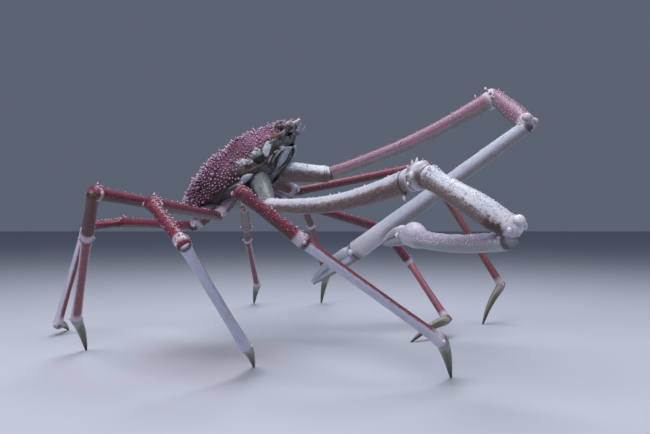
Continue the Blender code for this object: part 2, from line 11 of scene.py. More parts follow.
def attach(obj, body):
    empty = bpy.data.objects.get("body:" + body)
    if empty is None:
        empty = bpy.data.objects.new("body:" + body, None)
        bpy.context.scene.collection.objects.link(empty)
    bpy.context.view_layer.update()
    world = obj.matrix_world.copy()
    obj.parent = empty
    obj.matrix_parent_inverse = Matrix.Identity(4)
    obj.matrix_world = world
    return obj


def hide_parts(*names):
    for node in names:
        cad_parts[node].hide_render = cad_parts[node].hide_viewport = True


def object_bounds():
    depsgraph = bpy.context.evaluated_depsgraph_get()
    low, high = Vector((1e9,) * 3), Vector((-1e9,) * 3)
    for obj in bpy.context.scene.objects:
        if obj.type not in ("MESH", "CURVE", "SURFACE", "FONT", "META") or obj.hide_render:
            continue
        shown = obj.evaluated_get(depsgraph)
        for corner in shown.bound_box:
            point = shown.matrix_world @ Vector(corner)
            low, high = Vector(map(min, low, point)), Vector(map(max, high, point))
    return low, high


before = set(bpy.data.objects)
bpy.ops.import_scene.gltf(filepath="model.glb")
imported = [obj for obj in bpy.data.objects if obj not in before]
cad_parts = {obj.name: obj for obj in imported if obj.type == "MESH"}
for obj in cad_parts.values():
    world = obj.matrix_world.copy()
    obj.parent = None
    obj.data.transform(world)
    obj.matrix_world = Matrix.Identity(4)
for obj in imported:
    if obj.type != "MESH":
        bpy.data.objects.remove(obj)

CAD_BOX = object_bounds()

# Where the solids' working frame lies: the camera stood at its origin
SHIFT = Vector((0.076415, -1.638734, 0.0))
EYE_LEVEL = 0.26
PICTURE_WIDTH = 650
FOCAL_PIXELS = 756.0
SENSOR = 36.0

# Body: size and stance
CARAPACE_LENGTH = 0.31
BODY_PLACE = Vector((-0.168, 1.52, 0.36)) + SHIFT
HEADING, NOSE_UP, LEAN_RIGHT = -32.0, 33.0, 11.0
MARGIN_UP, MARGIN_SLOPE = -0.134, 0.07
UNDERSIDE_INSET = 0.86

# Limbs: lengths, and half-thickness along each segment as (share, radius)
LEG_LENGTHS = (0.06, 0.34, 0.116, 0.264, 0.108)
LEG_NAMES = ("base", "merus", "carpus", "propodus", "dactyl")
LEG_SHARE = {1: 1.0, 2: 1.0, 3: 0.94, 4: 0.86}
ARM_LENGTHS = (0.1, 0.385, 0.16, 0.45, 0.11)
ARM_NAMES = ("base", "merus", "carpus", "palm")
LEG_FORMS = (
    ((0.0, 0.0115), (0.45, 0.012), (1.0, 0.0105)),
    ((0.0, 0.0098), (0.12, 0.0086), (0.55, 0.0092), (0.88, 0.0104), (1.0, 0.0118)),
    ((0.0, 0.0104), (0.25, 0.009), (0.7, 0.0098), (1.0, 0.0102)),
    ((0.0, 0.009), (0.15, 0.008), (0.6, 0.008), (0.88, 0.009), (1.0, 0.0104)),
    ((0.0, 0.01), (0.18, 0.0096), (0.55, 0.007), (0.85, 0.004), (1.0, 0.002)),
)
ARM_FORMS = (
    ((0.0, 0.02), (0.5, 0.0185), (1.0, 0.0145)),
    ((0.0, 0.0135), (0.12, 0.013), (0.6, 0.015), (0.88, 0.0175), (1.0, 0.019)),
    ((0.0, 0.0165), (0.2, 0.016), (0.6, 0.0195), (0.85, 0.0175), (1.0, 0.0145)),
)
FINGER_FORM = ((0.0, 0.011), (0.25, 0.01), (0.7, 0.0066), (1.0, 0.0024))
LIMB_ROOT = {0: (0.14, 0.14, 0.15), 1: (0.047, 0.159, 0.159), 2: (-0.056, 0.173, 0.159),
             3: (-0.15, 0.168, 0.154), 4: (-0.234, 0.14, 0.14)}
LEG_POSE = {
    ("right", 1): ((281, -39), (274, 2), (3, -38), (18, -35), 71),
    ("right", 2): ((229, -42), (262, 3), (308, -30), (72, -40), 87),
    ("right", 3): ((224, -18), (249, 5), (115, -42), (113, -38), 93),
    ("right", 4): ((185, -37), (133, 1), (235, -4), (164, -72), 94),
    ("left", 1): ((24, -21), (29, 11), (55, -37), (16, -55), 204),
    ("left", 2): ((14, -24), (49, -11), (24, -49), (282, -23), 214),
    ("left", 3): ((65, -6), (77, -2), (79, -29), (78, -37), 106),
    ("left", 4): ((89, -12), (95, -9), (94, -21), (87, -37), 103),
}
ARM_POSE = {
    "right": ((289, -35), (310, 6), (324, -30), (103, -2), (108, -10)),
    "left": ((5, -3), (5, 25), (283, -28), (151, -34), (167, -36)),
}
MERUS_SAG = {"right": 0.018, "left": 0.012}
SIGNS = {"right": -1, "left": 1}
STEEP = 0.97

# Skin of the body, in carapace lengths along x: widest line, half-width, top and bottom from that line
SKIN_LINE = ((-0.488, -0.005), (-0.4, -0.04), (-0.25, -0.075), (0.0, -0.085), (0.2, -0.075),
             (0.35, -0.045), (0.42, -0.02), (0.47, -0.012))
WIDTH = ((-0.488, 0.05), (-0.455, 0.14), (-0.37, 0.255), (-0.22, 0.35), (-0.07, 0.385), (0.07, 0.36),
         (0.19, 0.28), (0.285, 0.195), (0.36, 0.135), (0.42, 0.1), (0.47, 0.045))
TOP = ((-0.488, 0.028), (-0.455, 0.062), (-0.37, 0.118), (-0.26, 0.162), (-0.12, 0.18), (0.02, 0.208),
       (0.14, 0.195), (0.25, 0.166), (0.34, 0.128), (0.41, 0.074), (0.47, 0.024))
BOTTOM = ((-0.488, 0.025), (-0.43, 0.06), (-0.32, 0.085), (-0.1, 0.105), (0.12, 0.105), (0.24, 0.088),
          (0.33, 0.06), (0.4, 0.04), (0.47, 0.015))
SWELLINGS = ((0.15, 0.0, 0.1, 0.026), (-0.13, 0.0, 0.08, 0.022), (-0.1, 0.21, 0.12, 0.026),
             (0.19, 0.19, 0.065, 0.026), (-0.29, 0.0, 0.07, 0.012))
ACROSS_POWER, TOP_POWER, BOTTOM_POWER = 0.9, 0.85, 0.8
SWELL_START = 0.08

# Spines of the head and back, as in the solids
HEAD_SPINES = (((0.44, 0.026, 0.006), (1.0, 0.36, -0.08), 0.026, 0.0058),
               ((0.4, 0.078, 0.03), (0.5, 0.55, 0.7), 0.013, 0.0042),
               ((0.35, 0.125, -0.01), (0.35, 1.0, 0.25), 0.015, 0.0046),
               ((0.27, 0.195, -0.04), (0.3, 1.0, 0.15), 0.015, 0.005))
BACK_SPINES = ((0.33, 90.0, 0.009), (0.22, 90.0, 0.011), (0.1, 90.0, 0.011), (-0.12, 90.0, 0.011),
               (-0.29, 90.0, 0.01), (-0.43, 90.0, 0.009), (0.19, 48.0, 0.01), (0.05, 60.0, 0.009),
               (-0.05, 38.0, 0.011), (-0.2, 52.0, 0.01), (0.14, 14.0, 0.012), (0.02, 12.0, 0.013),
               (-0.11, 12.0, 0.013), (-0.24, 14.0, 0.012), (-0.36, 20.0, 0.01))
SPINE_SLIMNESS = 0.36


def direction(turn, rise):
    turn, rise = math.radians(turn), math.radians(rise)
    return Vector((math.cos(rise) * math.cos(turn), math.cos(rise) * math.sin(turn), math.sin(rise)))


def body_frame():
    nose = direction(HEADING, NOSE_UP)
    left = Matrix.Rotation(math.radians(LEAN_RIGHT), 3, nose) @ direction(HEADING + 90.0, 0.0)
    turned = Matrix((nose, left, nose.cross(left))).transposed().to_4x4()
    return Matrix.Translation(BODY_PLACE) @ turned


BODY = body_frame()
BODY_TURN = BODY.to_3x3()


def mirrored(place, sign):
    """A place or way of the body's left side, brought to the side that sign names: 1 is left, -1 is right."""
    return Vector((place[0], place[1] * sign, place[2]))


def on_body(forward, outward, up, sign=1):
    """A place given in carapace lengths in the body's own frame."""
    return BODY @ (mirrored((forward, outward, up), sign) * CARAPACE_LENGTH)


def between(points, at):
    """A smooth curve through (place, value) pairs, read at one place."""
    if at <= points[0][0]:
        return points[0][1]
    if at >= points[-1][0]:
        return points[-1][1]
    index = max(i for i in range(len(points) - 1) if points[i][0] <= at)

    def slope(i):
        low, high = max(i - 1, 0), min(i + 1, len(points) - 1)
        return (points[high][1] - points[low][1]) / (points[high][0] - points[low][0])

    (x0, y0), (x1, y1) = points[index], points[index + 1]
    span = x1 - x0
    t = (at - x0) / span
    rise = y0 * (1 + 2 * t) * (1 - t) ** 2 + y1 * t * t * (3 - 2 * t)
    return rise + slope(index) * span * t * (1 - t) ** 2 - slope(index + 1) * span * t * t * (1 - t)


def near(value, place, spread):
    """1 at a place, fading to 0 round it."""
    return math.exp(-((value - place) / spread) ** 2)


def side_frame(axis):
    """Two unit vectors square to the axis: as far up as may be, and to the side."""
    up = Vector((1.0, 0.0, 0.0) if abs(axis.z) > STEEP else (0.0, 0.0, 1.0))
    top = (up - axis * axis.dot(up)).normalized()
    return top, axis.cross(top)


# Meshes. Each carries what its material reads: top (1 above, 0 below; on plates, cords and lobes 1 less how dark
# they are, which is painted shade, and the brown speckles of the spotted strip; 0.6 over the breast plate), along
# (share from root to end), tip (0 at a spine's root, 1 at its point), pale (1 on collars and knobs) and own (place
# in the piece's own straight frame, in metres)
VALUES = ("top", "along", "tip", "pale")


def thorn_template(sides, rings):
    """A unit ball as arrays, the pattern of every spine with that many sides."""
    ball = bmesh.new()
    bmesh.ops.create_uvsphere(ball, u_segments=sides, v_segments=rings, radius=1.0)
    points = np.array([vertex.co for vertex in ball.verts])
    faces = [[vertex.index for vertex in face.verts] for face in ball.faces]
    ball.free()
    return points, faces


THORN_RINGS = 5
THORN_SUNK = 0.4
THORNS = {sides: thorn_template(sides, THORN_RINGS) for sides in (6, 7, 9, 12)}


class Shape:
    def __init__(self):
        self.mesh = bmesh.new()
        self.values = {name: self.mesh.verts.layers.float.new(name) for name in VALUES}
        self.own = self.mesh.verts.layers.float_vector.new("own")
        self.small = []

    def ball(self, sides, steps, place):
        """A closed skin. place(step, turn) gives (point, top, along, tip, pale, own) from pole to pole."""
        made = bmesh.ops.create_uvsphere(self.mesh, u_segments=sides, v_segments=steps, radius=1.0)
        for vertex in made["verts"]:
            height = max(-1.0, min(1.0, vertex.co.z))
            step = round(math.acos(height) / math.pi * steps)
            vertex.co, *values, vertex[self.own] = place(step, math.atan2(vertex.co.y, vertex.co.x))
            for name, value in zip(VALUES, values):
                vertex[self.values[name]] = value

    def thorn(self, spot, way, height, radius, top, along, own, sides=7, sharp=0.62, pale=0.0):
        """A rounded spine: a ball drawn out along its way, with its lower half sunk in the skin."""
        turned = np.array(way.to_track_quat("Z", "Y").to_matrix())
        self.small.append((spot, turned, height, radius, (top, along, pale), own, sides, sharp))

    def cut(self, place, normal):
        """Takes off what lies past a plane, and closes the hole."""
        everything = self.mesh.verts[:] + self.mesh.edges[:] + self.mesh.faces[:]
        bmesh.ops.bisect_plane(self.mesh, geom=everything, dist=1e-7, plane_co=place, plane_no=normal,
                               clear_outer=True)
        bmesh.ops.holes_fill(self.mesh, edges=[edge for edge in self.mesh.edges if edge.is_boundary], sides=0)

    def finish(self, name, paint, slot, nodes):
        bmesh.ops.recalc_face_normals(self.mesh, faces=self.mesh.faces)
        skin = bpy.data.meshes.new(name)
        self.mesh.to_mesh(skin)
        self.mesh.free()
        if self.small:
            skin = with_thorns(name, skin, self.small)
        places = np.clip(read(skin, "position", 3), np.array(CAD_BOX[0]), np.array(CAD_BOX[1]))
        skin.vertices.foreach_set("co", places.ravel())
        skin.polygons.foreach_set("use_smooth", [True] * len(skin.polygons))
        skin.materials.append(paint)
        piece = bpy.data.objects.new(name, skin)
        bpy.context.scene.collection.objects.link(piece)
        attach(piece, "root")
        if nodes:
            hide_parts(*nodes)


def read(mesh, name, width):
    values = np.empty(len(mesh.vertices) * width)
    if name == "position":
        mesh.vertices.foreach_get("co", values)
    else:
        mesh.attributes[name].data.foreach_get("value" if width == 1 else "vector", values)
    return values.reshape(-1, width)


def with_thorns(name, skin, small):
    """The skin and all its small spines as one joined mesh."""
    columns = {"position": [read(skin, "position", 3)], "own": [read(skin, "own", 3)]}
    columns.update({value: [read(skin, value, 1)] for value in VALUES})
    faces = [list(face.vertices) for face in skin.polygons]
    count = len(skin.vertices)
    for spot, turned, height, radius, flat, own, sides, sharp in small:
        points, corners = THORNS[sides]
        tip = np.maximum(points[:, 2], 0.0)
        thin = radius * (1.0 - sharp * tip)
        rise = np.where(points[:, 2] > 0.0, 1.0, THORN_SUNK) * points[:, 2] * height
        drawn = np.column_stack((points[:, 0] * thin, points[:, 1] * thin, rise)) @ turned.T
        columns["position"].append(drawn + np.array(spot))
        columns["own"].append(np.tile(np.array(own), (len(points), 1)))
        for value, number in zip(("top", "along", "pale"), flat):
            columns[value].append(np.full((len(points), 1), number))
        columns["tip"].append(tip[:, None])
        faces += [[index + count for index in corner] for corner in corners]
        count += len(points)
    bpy.data.meshes.remove(skin)
    joined = bpy.data.meshes.new(name)
    joined.from_pydata(np.concatenate(columns["position"]).tolist(), [], faces)
    for value in VALUES:
        layer = joined.attributes.new(value, "FLOAT", "POINT")
        layer.data.foreach_set("value", np.concatenate(columns[value]).ravel())
    layer = joined.attributes.new("own", "FLOAT_VECTOR", "POINT")
    layer.data.foreach_set("vector", np.concatenate(columns["own"]).ravel())
    joined.update()
    return joined


# Shader groups and materials. A value given to a node is a socket or a constant
class Nodes:
    """A node tree, with short ways to add to it."""

    def __init__(self, tree):
        self.tree = tree

    def put(self, value, socket):
        if hasattr(value, "is_output"):
            self.tree.links.new(value, socket)
        elif isinstance(value, tuple) and len(socket.default_value) == 4:
            socket.default_value = (*value, 1.0)
        else:
            socket.default_value = value

    def add(self, kind, inputs, output=0, **settings):
        """Adds a node and returns one of its outputs, or all of them where output is None."""
        node = self.tree.nodes.new("ShaderNode" + kind)
        for key, value in settings.items():
            setattr(node, key, value)
        for key, value in inputs.items():
            self.put(value, node.inputs[key])
        return node.outputs if output is None else node.outputs[output]

    def maths(self, operation, first, second):
        return self.add("Math", {0: first, 1: second}, operation=operation)

    def times(self, first, second):
        return self.maths("MULTIPLY", first, second)

    def fade(self, value, low, high):
        """0 at low and 1 at high, whichever of them is the greater."""
        return self.add("MapRange", {"Value": value, "From Min": low, "From Max": high},
                        interpolation_type="SMOOTHSTEP")

    def band(self, value, start, risen, falling, end):
        """1 between risen and falling, fading to 0 at start and end."""
        return self.times(self.fade(value, start, risen), self.fade(value, end, falling))

    def mix(self, mask, first, second):
        return self.add("Mix", {0: mask, 6: first, 7: second}, 2, data_type="RGBA")

    def noise(self, place, scale, detail=4.0, rough=0.55):
        return self.add("TexNoise", {"Vector": place, "Scale": scale, "Detail": detail, "Roughness": rough})

    def cells(self, place, scale):
        return self.add("TexVoronoi", {"Vector": place, "Scale": scale}, "Distance", feature="F1")


def shared_group(name, label, build):
    """A node group that reads one place. build takes its nodes and the place, and returns its outputs by name."""
    tree = bpy.data.node_groups.new(name, "ShaderNodeTree")
    tree.interface.new_socket(label, in_out="INPUT", socket_type="NodeSocketVector")
    made = build(Nodes(tree), tree.nodes.new("NodeGroupInput").outputs[0])
    for label in made:
        tree.interface.new_socket(label, in_out="OUTPUT", socket_type="NodeSocketFloat")
    result = tree.nodes.new("NodeGroupOutput")
    for label, socket in made.items():
        tree.links.new(socket, result.inputs[label])
    return tree


def shell_grain(nodes, place):
    """Fine relief of horny shell: pimples, pores and a slow unevenness."""
    pimple = nodes.fade(nodes.cells(place, 420.0), 0.42, 0.1)
    slow = nodes.noise(place, 60.0)
    height = nodes.maths("ADD", nodes.times(pimple, 0.55), nodes.times(slow, 0.5))
    height = nodes.maths("ADD", height, nodes.times(nodes.noise(place, 900.0, 3.0), 0.22))
    return {"Height": height, "Pimple": pimple, "Patch": slow}


def streaks(nodes, own):
    """Lengthwise streaks, blotches and freckles that follow a limb."""
    drawn = nodes.add("Mapping", {"Vector": own, "Scale": (0.16, 1.0, 1.0)})
    return {"Streak": nodes.fade(nodes.noise(drawn, 230.0, 5.0, 0.6), 0.46, 0.72),
            "Blotch": nodes.fade(nodes.noise(own, 45.0, 4.0, 0.62), 0.5, 0.74),
            "Freckle": nodes.fade(nodes.cells(own, 260.0), 0.3, 0.14),
            "Ragged": nodes.noise(own, 170.0, 5.0, 0.68)}


GRAIN, STREAKS = shared_group("shell_grain", "Place", shell_grain), shared_group("streaks", "Own", streaks)
GRAIN_DEPTH = 0.0012


class Paint(Nodes):
    """A material whose colour is laid on in coats."""

    def __init__(self, name, roughness, coat=0.0, coat_roughness=0.25):
        self.material = bpy.data.materials.new(name)
        self.material.use_nodes = True
        super().__init__(self.material.node_tree)
        self.shader = self.tree.nodes["Principled BSDF"].inputs
        self.shader["Roughness"].default_value = roughness
        self.shader["Coat Weight"].default_value = coat
        self.shader["Coat Roughness"].default_value = coat_roughness

    def place(self):
        return self.add("TexCoord", {}, "Object")

    def value(self, name, output="Fac"):
        return self.add("Attribute", {}, output, attribute_name=name)

    def relief(self, strength):
        """Bump from the shared grain. Returns the grain's outputs."""
        grain = self.add("Group", {"Place": self.place()}, None, node_tree=GRAIN)
        bump = {"Strength": strength, "Distance": GRAIN_DEPTH, "Height": grain["Height"]}
        self.put(self.add("Bump", bump), self.shader["Normal"])
        return grain

    def streaks(self):
        return self.add("Group", {"Own": self.value("own", "Vector")}, None, node_tree=STREAKS)

    def lay(self, colour, mask, share=1.0):
        """One more colour over the rest, as far as the mask says."""
        mask = mask if share == 1.0 else self.times(mask, share)
        self.colour = self.mix(mask, self.colour, colour)

    def finish(self, rough=None, low=0.0, high=1.0):
        """Ends the colour, and lets a value move the roughness between low and high."""
        self.put(self.colour, self.shader["Base Color"])
        if rough:
            spread = {"Value": rough, "To Min": low, "To Max": high}
            self.put(self.add("MapRange", spread), self.shader["Roughness"])
        return self.material


def darker(colour, share):
    return tuple(value * share for value in colour)


def carapace_material():
    """Crimson shell darker to the rear, with painted shade on its lower flank, thick with lilac pimples and pale
    spine tips.
    """
    paint = Paint("carapace_shell", 0.55)
    grain = paint.relief(1.0)
    where, rear = paint.place(), paint.value("along")
    wide = paint.noise(where, 22.0, 5.0, 0.6)
    patch = paint.fade(wide, 0.36, 0.62)
    front = paint.mix(patch, (0.085, 0.014, 0.045), (0.22, 0.062, 0.165))
    back = paint.mix(patch, (0.014, 0.003, 0.007), (0.075, 0.014, 0.042))
    paint.colour = paint.mix(paint.fade(rear, 0.3, 0.9), back, front)
    paint.lay((0.36, 0.16, 0.32), grain["Pimple"], 0.35)
    # Painted shade on the lower flank, below the widest line, as a dark mottle; towards the front it takes the
    # cheeks' own grey.
    mottle = paint.fade(paint.noise(where, 60.0, 5.0, 0.65), 0.42, 0.6)
    low = paint.mix(mottle, (0.03, 0.009, 0.01), (0.105, 0.04, 0.06))
    cheek = paint.mix(mottle, (0.034, 0.012, 0.01), (0.115, 0.1, 0.092))
    low = paint.mix(paint.fade(rear, 0.58, 0.72), low, cheek)
    paint.lay(low, paint.fade(paint.value("top"), 0.26, 0.0))
    points = paint.mix(paint.fade(wide, 0.35, 0.65), (0.46, 0.24, 0.42), (0.7, 0.54, 0.72))
    paint.lay(points, paint.fade(paint.value("tip"), 0.1, 0.8))
    paint.lay((0.56, 0.54, 0.52), paint.value("pale"))
    return paint.finish(wide, 0.42, 0.66)


def limb_material(name, above, below, line, tips, split=0.45, jag=0.3, streak=0.35, blotch=0.35, rings=(),
                  shade_patch=None, flip=False):
    """Shell of a limb: one colour above and one below with a ragged edge between, pale spine tips and
    joint collars, and streaks, blotches and freckles drawn along it."""
    paint = Paint(name, 0.42, 0.15)
    grain, marks = paint.relief(0.8), paint.streaks()
    top, along, tip, pale = map(paint.value, VALUES)
    if flip:
        top = paint.maths("SUBTRACT", 1.0, top)
    ragged = paint.times(paint.maths("SUBTRACT", marks["Ragged"], 0.5), jag)
    level = paint.maths("ADD", top, ragged)
    paint.colour = paint.mix(paint.fade(level, split - 0.07, split + 0.07), below, above)
    paint.lay(line, paint.band(level, split - 0.16, split - 0.03, split + 0.02, split + 0.14), 0.7)
    paint.lay(line, marks["Streak"], streak)
    paint.lay(darker(line, 0.42), marks["Blotch"], blotch)
    paint.lay(tips, marks["Freckle"], 0.25)
    paint.lay((0.6, 0.56, 0.66), pale, 0.75)
    paint.lay((0.03, 0.014, 0.016), paint.band(along, -0.02, -0.004, 0.006, 0.02), 0.85)
    for place in rings:
        ring = paint.band(along, place - 0.007, place - 0.002, place + 0.002, place + 0.007)
        paint.lay((0.035, 0.018, 0.02), ring, 0.8)
    # Painted shade: a dark patch on the lower side over a stretch along the segment; on the right carpus it lies in
    # the crook where the palm folds back.
    if shade_patch:
        low, high, highest = shade_patch
        patch = paint.band(along, low - 0.06, low + 0.04, high - 0.02, high + 0.02)
        paint.lay((0.055, 0.018, 0.016), paint.times(patch, paint.fade(level, highest + 0.1, highest - 0.1)))
    paint.lay(tips, paint.fade(tip, 0.2, 0.65))
    return paint.finish(grain["Patch"], 0.3, 0.56)


def horn_material(name, root, middle, end):
    """Horn of a foot or fingertip, from pale at the root to dark at the point, grooved along, with a painted
    highlight along its top.
    """
    paint = Paint(name, 0.4, 0.2)
    paint.relief(0.35)
    streak = paint.streaks()["Streak"]
    wander = paint.maths("ADD", paint.value("along"), paint.times(streak, 0.1))
    paint.colour = paint.mix(paint.fade(wander, 0.02, 0.35), root, middle)
    paint.lay(end, paint.fade(wander, 0.62, 1.0))
    # Painted highlight: the root's pale colour laid along the top.
    paint.lay(root, paint.fade(paint.value("top"), 0.8, 0.98), 0.7)
    paint.lay(darker(middle, 0.5), streak, 0.35)
    paint.lay((0.8, 0.78, 0.74), paint.fade(paint.value("tip"), 0.1, 0.5))
    return paint.finish()


def plate_material(name, light, dark, strength=0.6):
    """Thin shell of the face and the underside: stained, darkened where its top value is low, which is painted shade
    in its grooves, gaps and lower sides and the brown speckles of the spotted strip, and white where it is marked.
    """
    paint, white = Paint(name, 0.5), (0.54, 0.56, 0.66)
    grain = paint.relief(strength)
    stain = paint.fade(paint.noise(paint.place(), 90.0, 6.0, 0.66), 0.42, 0.62)
    paint.colour = paint.mix(paint.times(stain, 0.8), light, dark)
    paint.lay(paint.mix(paint.times(stain, 0.45), white, light), paint.value("pale"))
    # Painted shade in grooves, gaps and the lower sides of plates, where the top value is low; the same layer gives
    # the spotted strip its brown speckles and darkens the breast plate evenly.
    paint.lay(darker(dark, 0.22), paint.fade(paint.value("top"), 0.8, 0.3))
    paint.lay(white, paint.fade(paint.value("tip"), 0.25, 0.7))
    return paint.finish(grain["Patch"], 0.36, 0.62)


def eye_material():
    paint = Paint("eye_glass", 0.08, 1.0, 0.05)
    facets = paint.times(paint.cells(paint.place(), 3200.0), 0.5)
    paint.colour = paint.mix(facets, (0.01, 0.003, 0.005), (0.09, 0.012, 0.01))
    return paint.finish()


# Tubes: a limb segment from joint to joint, with its rims and ridges
END_RINGS = ((1.0, 0.0), (0.97, 0.24), (0.88, 0.47), (0.72, 0.69), (0.5, 0.866), (0.25, 0.968))
LUMP_HEIGHT, LUMP_SCALE, LUMP_ROUND = 0.035, 38.0, 1.1
NEAR_FLATNESS, FAR_FLATNESS = 0.55, 0.4
COLLAR_FADE = 0.006


def limit(value, low=0.0, high=1.0):
    return max(low, min(high, value))


def tube_stations(length, form, steps):
    """(distance, radius) of each ring from pole to pole, closer together near the ends."""
    first, last = form[0][1], form[-1][1]
    stations = [(-first * out * NEAR_FLATNESS, first * wide) for out, wide in END_RINGS]
    for step in range(steps + 1):
        share = 0.5 - 0.5 * math.cos(math.pi * step / steps)
        share = 0.55 * share + 0.45 * step / steps
        stations.append((share * length, between(form, share)))
    stations += [(length + last * out * FAR_FLATNESS, last * wide) for out, wide in reversed(END_RINGS)]
    return stations


class Segment:
    """One straight or sagging piece of a limb, with its own frame along it and its own seeded draws."""

    def __init__(self, shape, draw, start, end, form, bow=0.0, seed=0.0, rims=(0.05, 0.1), ridges=0.0,
                 collar=None, humps=()):
        self.shape, self.draw, self.start, self.form, self.bow = shape, draw, start, form, bow
        self.length = (end - start).length
        self.axis = (end - start).normalized()
        self.top, self.side = side_frame(self.axis)
        self.seed, self.rims, self.ridges, self.collar, self.humps = seed, rims, ridges, collar, humps

    def swell(self, distance, turn):
        """How much thicker the shell is at its rims, ridges and lumps than the plain form."""
        first, last = self.form[0][1], self.form[-1][1]
        rim = self.rims[0] * (near(distance, first * 0.9, first * 0.5) - 2.2 * near(distance, 0.0, first * 0.16))
        rim += self.rims[1] * near(distance, self.length - last * 0.5, last * 0.5)
        place = Vector((distance * LUMP_SCALE, math.cos(turn) * LUMP_ROUND + self.seed, math.sin(turn) * LUMP_ROUND))
        lump = LUMP_HEIGHT * noise.noise(place)
        ridge = self.ridges * math.cos(4.0 * turn)
        for share, spread, facing, height in self.humps:
            side = max(0.0, math.cos(turn - math.radians(facing)))
            ridge += height * near(distance / self.length, share, spread) * side
        return 1.0 + rim + lump + ridge

    def spot(self, distance, turn, radius):
        out = self.top * math.sin(turn) + self.side * math.cos(turn)
        sag = self.top * (self.bow * math.sin(math.pi * limit(distance / self.length)))
        return self.start + self.axis * distance + sag + out * radius, out.normalized()

    def own(self, distance, turn, radius):
        shift = Vector((self.seed * 0.37, self.seed * 0.11, 0.0))
        return shift + Vector((distance, math.cos(turn) * radius, math.sin(turn) * radius))

    def paleness(self, share):
        """1 on the pale ring near the far joint, fading to 0 on both sides."""
        if not self.collar:
            return 0.0
        low, high = self.collar
        rise = limit((share - low) / (0.35 * (high - low)))
        return rise * rise * (3.0 - 2.0 * rise) * limit((high - share) / (COLLAR_FADE / self.length) + 0.5)

    def skin(self, sides, steps):
        stations = tube_stations(self.length, self.form, steps)

        def place(step, turn):
            distance, radius = stations[step]
            radius *= self.swell(distance, turn)
            share = distance / self.length
            return (self.spot(distance, turn, radius)[0], 0.5 + 0.5 * math.sin(turn), share, 0.0,
                    self.paleness(share), self.own(distance, turn, radius))

        self.shape.ball(sides, len(stations) - 1, place)

    def thorns(self, count, heights, turns, shares=(0.04, 0.96), stout=0.55, sharp=0.55):
        """Seeded tubercles over part of the segment."""
        for _ in range(count):
            share, turn = self.draw.uniform(*shares), self.draw.uniform(*turns)
            self.thorn(share, turn, self.draw.uniform(*heights), stout, sharp)

    def row(self, turn, count, heights, shares=(0.06, 0.94), stout=0.55, wander=6.0):
        """A seeded row of tubercles along the segment."""
        first, last = shares
        for step in range(count):
            share = first + (last - first) * (step + self.draw.uniform(0.2, 0.8)) / count
            self.thorn(share, turn + self.draw.uniform(-wander, wander), self.draw.uniform(*heights), stout)

    def knobs(self, size=0.3):
        """The two hinge knobs at the far end, one on each side."""
        last = self.form[-1][1]
        for turn in (0, 180):
            self.thorn(1.0 - 0.25 * last / self.length, turn, last * size, 1.1, 0.25, pale=0.55)

    def thorn(self, share, turn, height, stout=0.55, sharp=0.55, lean=0.0, pale=0.0):
        distance, turn = share * self.length, math.radians(turn)
        radius = between(self.form, share) * self.swell(distance, turn)
        spot, out = self.spot(distance, turn, radius * 0.985)
        self.shape.thorn(spot, (out + self.axis * lean).normalized(), height, height * stout,
                         0.5 + 0.5 * math.sin(turn), share, self.own(distance, turn, radius), sharp=sharp, pale=pale)


def joints_of(side, number):
    """The joints of a limb and the way of each of its segments. Number 0 is the clawed limb."""
    share = LEG_SHARE.get(number, 1.0)
    pose, *feet = (ARM_POSE[side],) if number == 0 else (LEG_POSE[(side, number)][:4], LEG_POSE[(side, number)][4])
    ways = [direction(turn, rise) for turn, rise in pose]
    lengths = ARM_LENGTHS if number == 0 else [LEG_LENGTHS[0]] + [length * share for length in LEG_LENGTHS[1:]]
    forward, outward, down = LIMB_ROOT[number]
    joints = [on_body(forward, outward, -down, SIGNS[side])]
    for way, length in zip(ways, lengths):
        joints.append(joints[-1] + way * length)
    for turn in feet:
        ways.append(direction(turn, -math.degrees(math.asin(joints[-1].z / lengths[-1]))))
        joints.append(joints[-1] + ways[-1] * lengths[-1])
    return joints, ways


LEG_COLLARS = ((0.7, 0.9), (0.965, 0.99), (0.82, 0.97), (0.9, 0.985), None)
LEG_RIMS = ((0.04, 0.06), (0.04, 0.08), (0.04, 0.06), (0.04, 0.06), (0.06, 0.0))
LEG_SLOTS = ("leg", "leg", "leg", "pale_leg", "claw")
LEG_SIDES, FOOT_BOW = 22, 0.006


def dress_leg(part, name):
    """The spines of one segment of a leg."""
    if name == "merus":
        part.row(90, 12, (0.0018, 0.0034), (0.04, 0.95))
        for turn in (45, 135):
            part.row(turn, 9, (0.0014, 0.0026), (0.04, 0.95), wander=14.0)
        part.row(0, 6, (0.0012, 0.0022), wander=20.0)
        part.thorn(0.975, 90, 0.006, 0.42)
        part.thorns(7, (0.0022, 0.0036), (30, 150), (0.93, 0.99))
    elif name == "carpus":
        for turn in (62, 92, 122):
            part.row(turn, 9, (0.0022, 0.004), (0.02, 0.95), stout=0.6)
        part.row(10, 7, (0.0014, 0.0024), wander=12.0)
        part.thorns(12, (0.0014, 0.0026), (20, 160), (0.86, 0.97))
    elif name == "base":
        part.thorns(30, (0.0015, 0.0038), (0, 360), (0.2, 0.95))
    elif name == "propodus":
        part.row(90, 10, (0.001, 0.0018), wander=10.0)


def build_leg(side, number, paints):
    joints, _ = joints_of(side, number)
    draw = random.Random(100 * number + (7 if side == "left" else 0))
    shin = "front" if side == "right" and number < 3 else "pale" if side == "right" or number == 4 else "rust"
    for index, (name, paint) in enumerate(zip(LEG_NAMES, ("coxa", "leg", "leg", shin, "foot"))):
        title, foot, shape = f"{side}_leg_{number}_{name}", name == "dactyl", Shape()
        part = Segment(shape, draw, joints[index], joints[index + 1], LEG_FORMS[index], FOOT_BOW if foot else 0.0,
                       index + number * 3.1, LEG_RIMS[index], 0.02, LEG_COLLARS[index])
        part.skin(LEG_SIDES, 14 if index == 0 else 30)
        if foot:
            shape.cut(Vector(), Vector((0.0, 0.0, -1.0)))
        else:
            part.knobs()
        dress_leg(part, name)
        shape.finish("shell_" + title, paints[paint], LEG_SLOTS[index], [title])


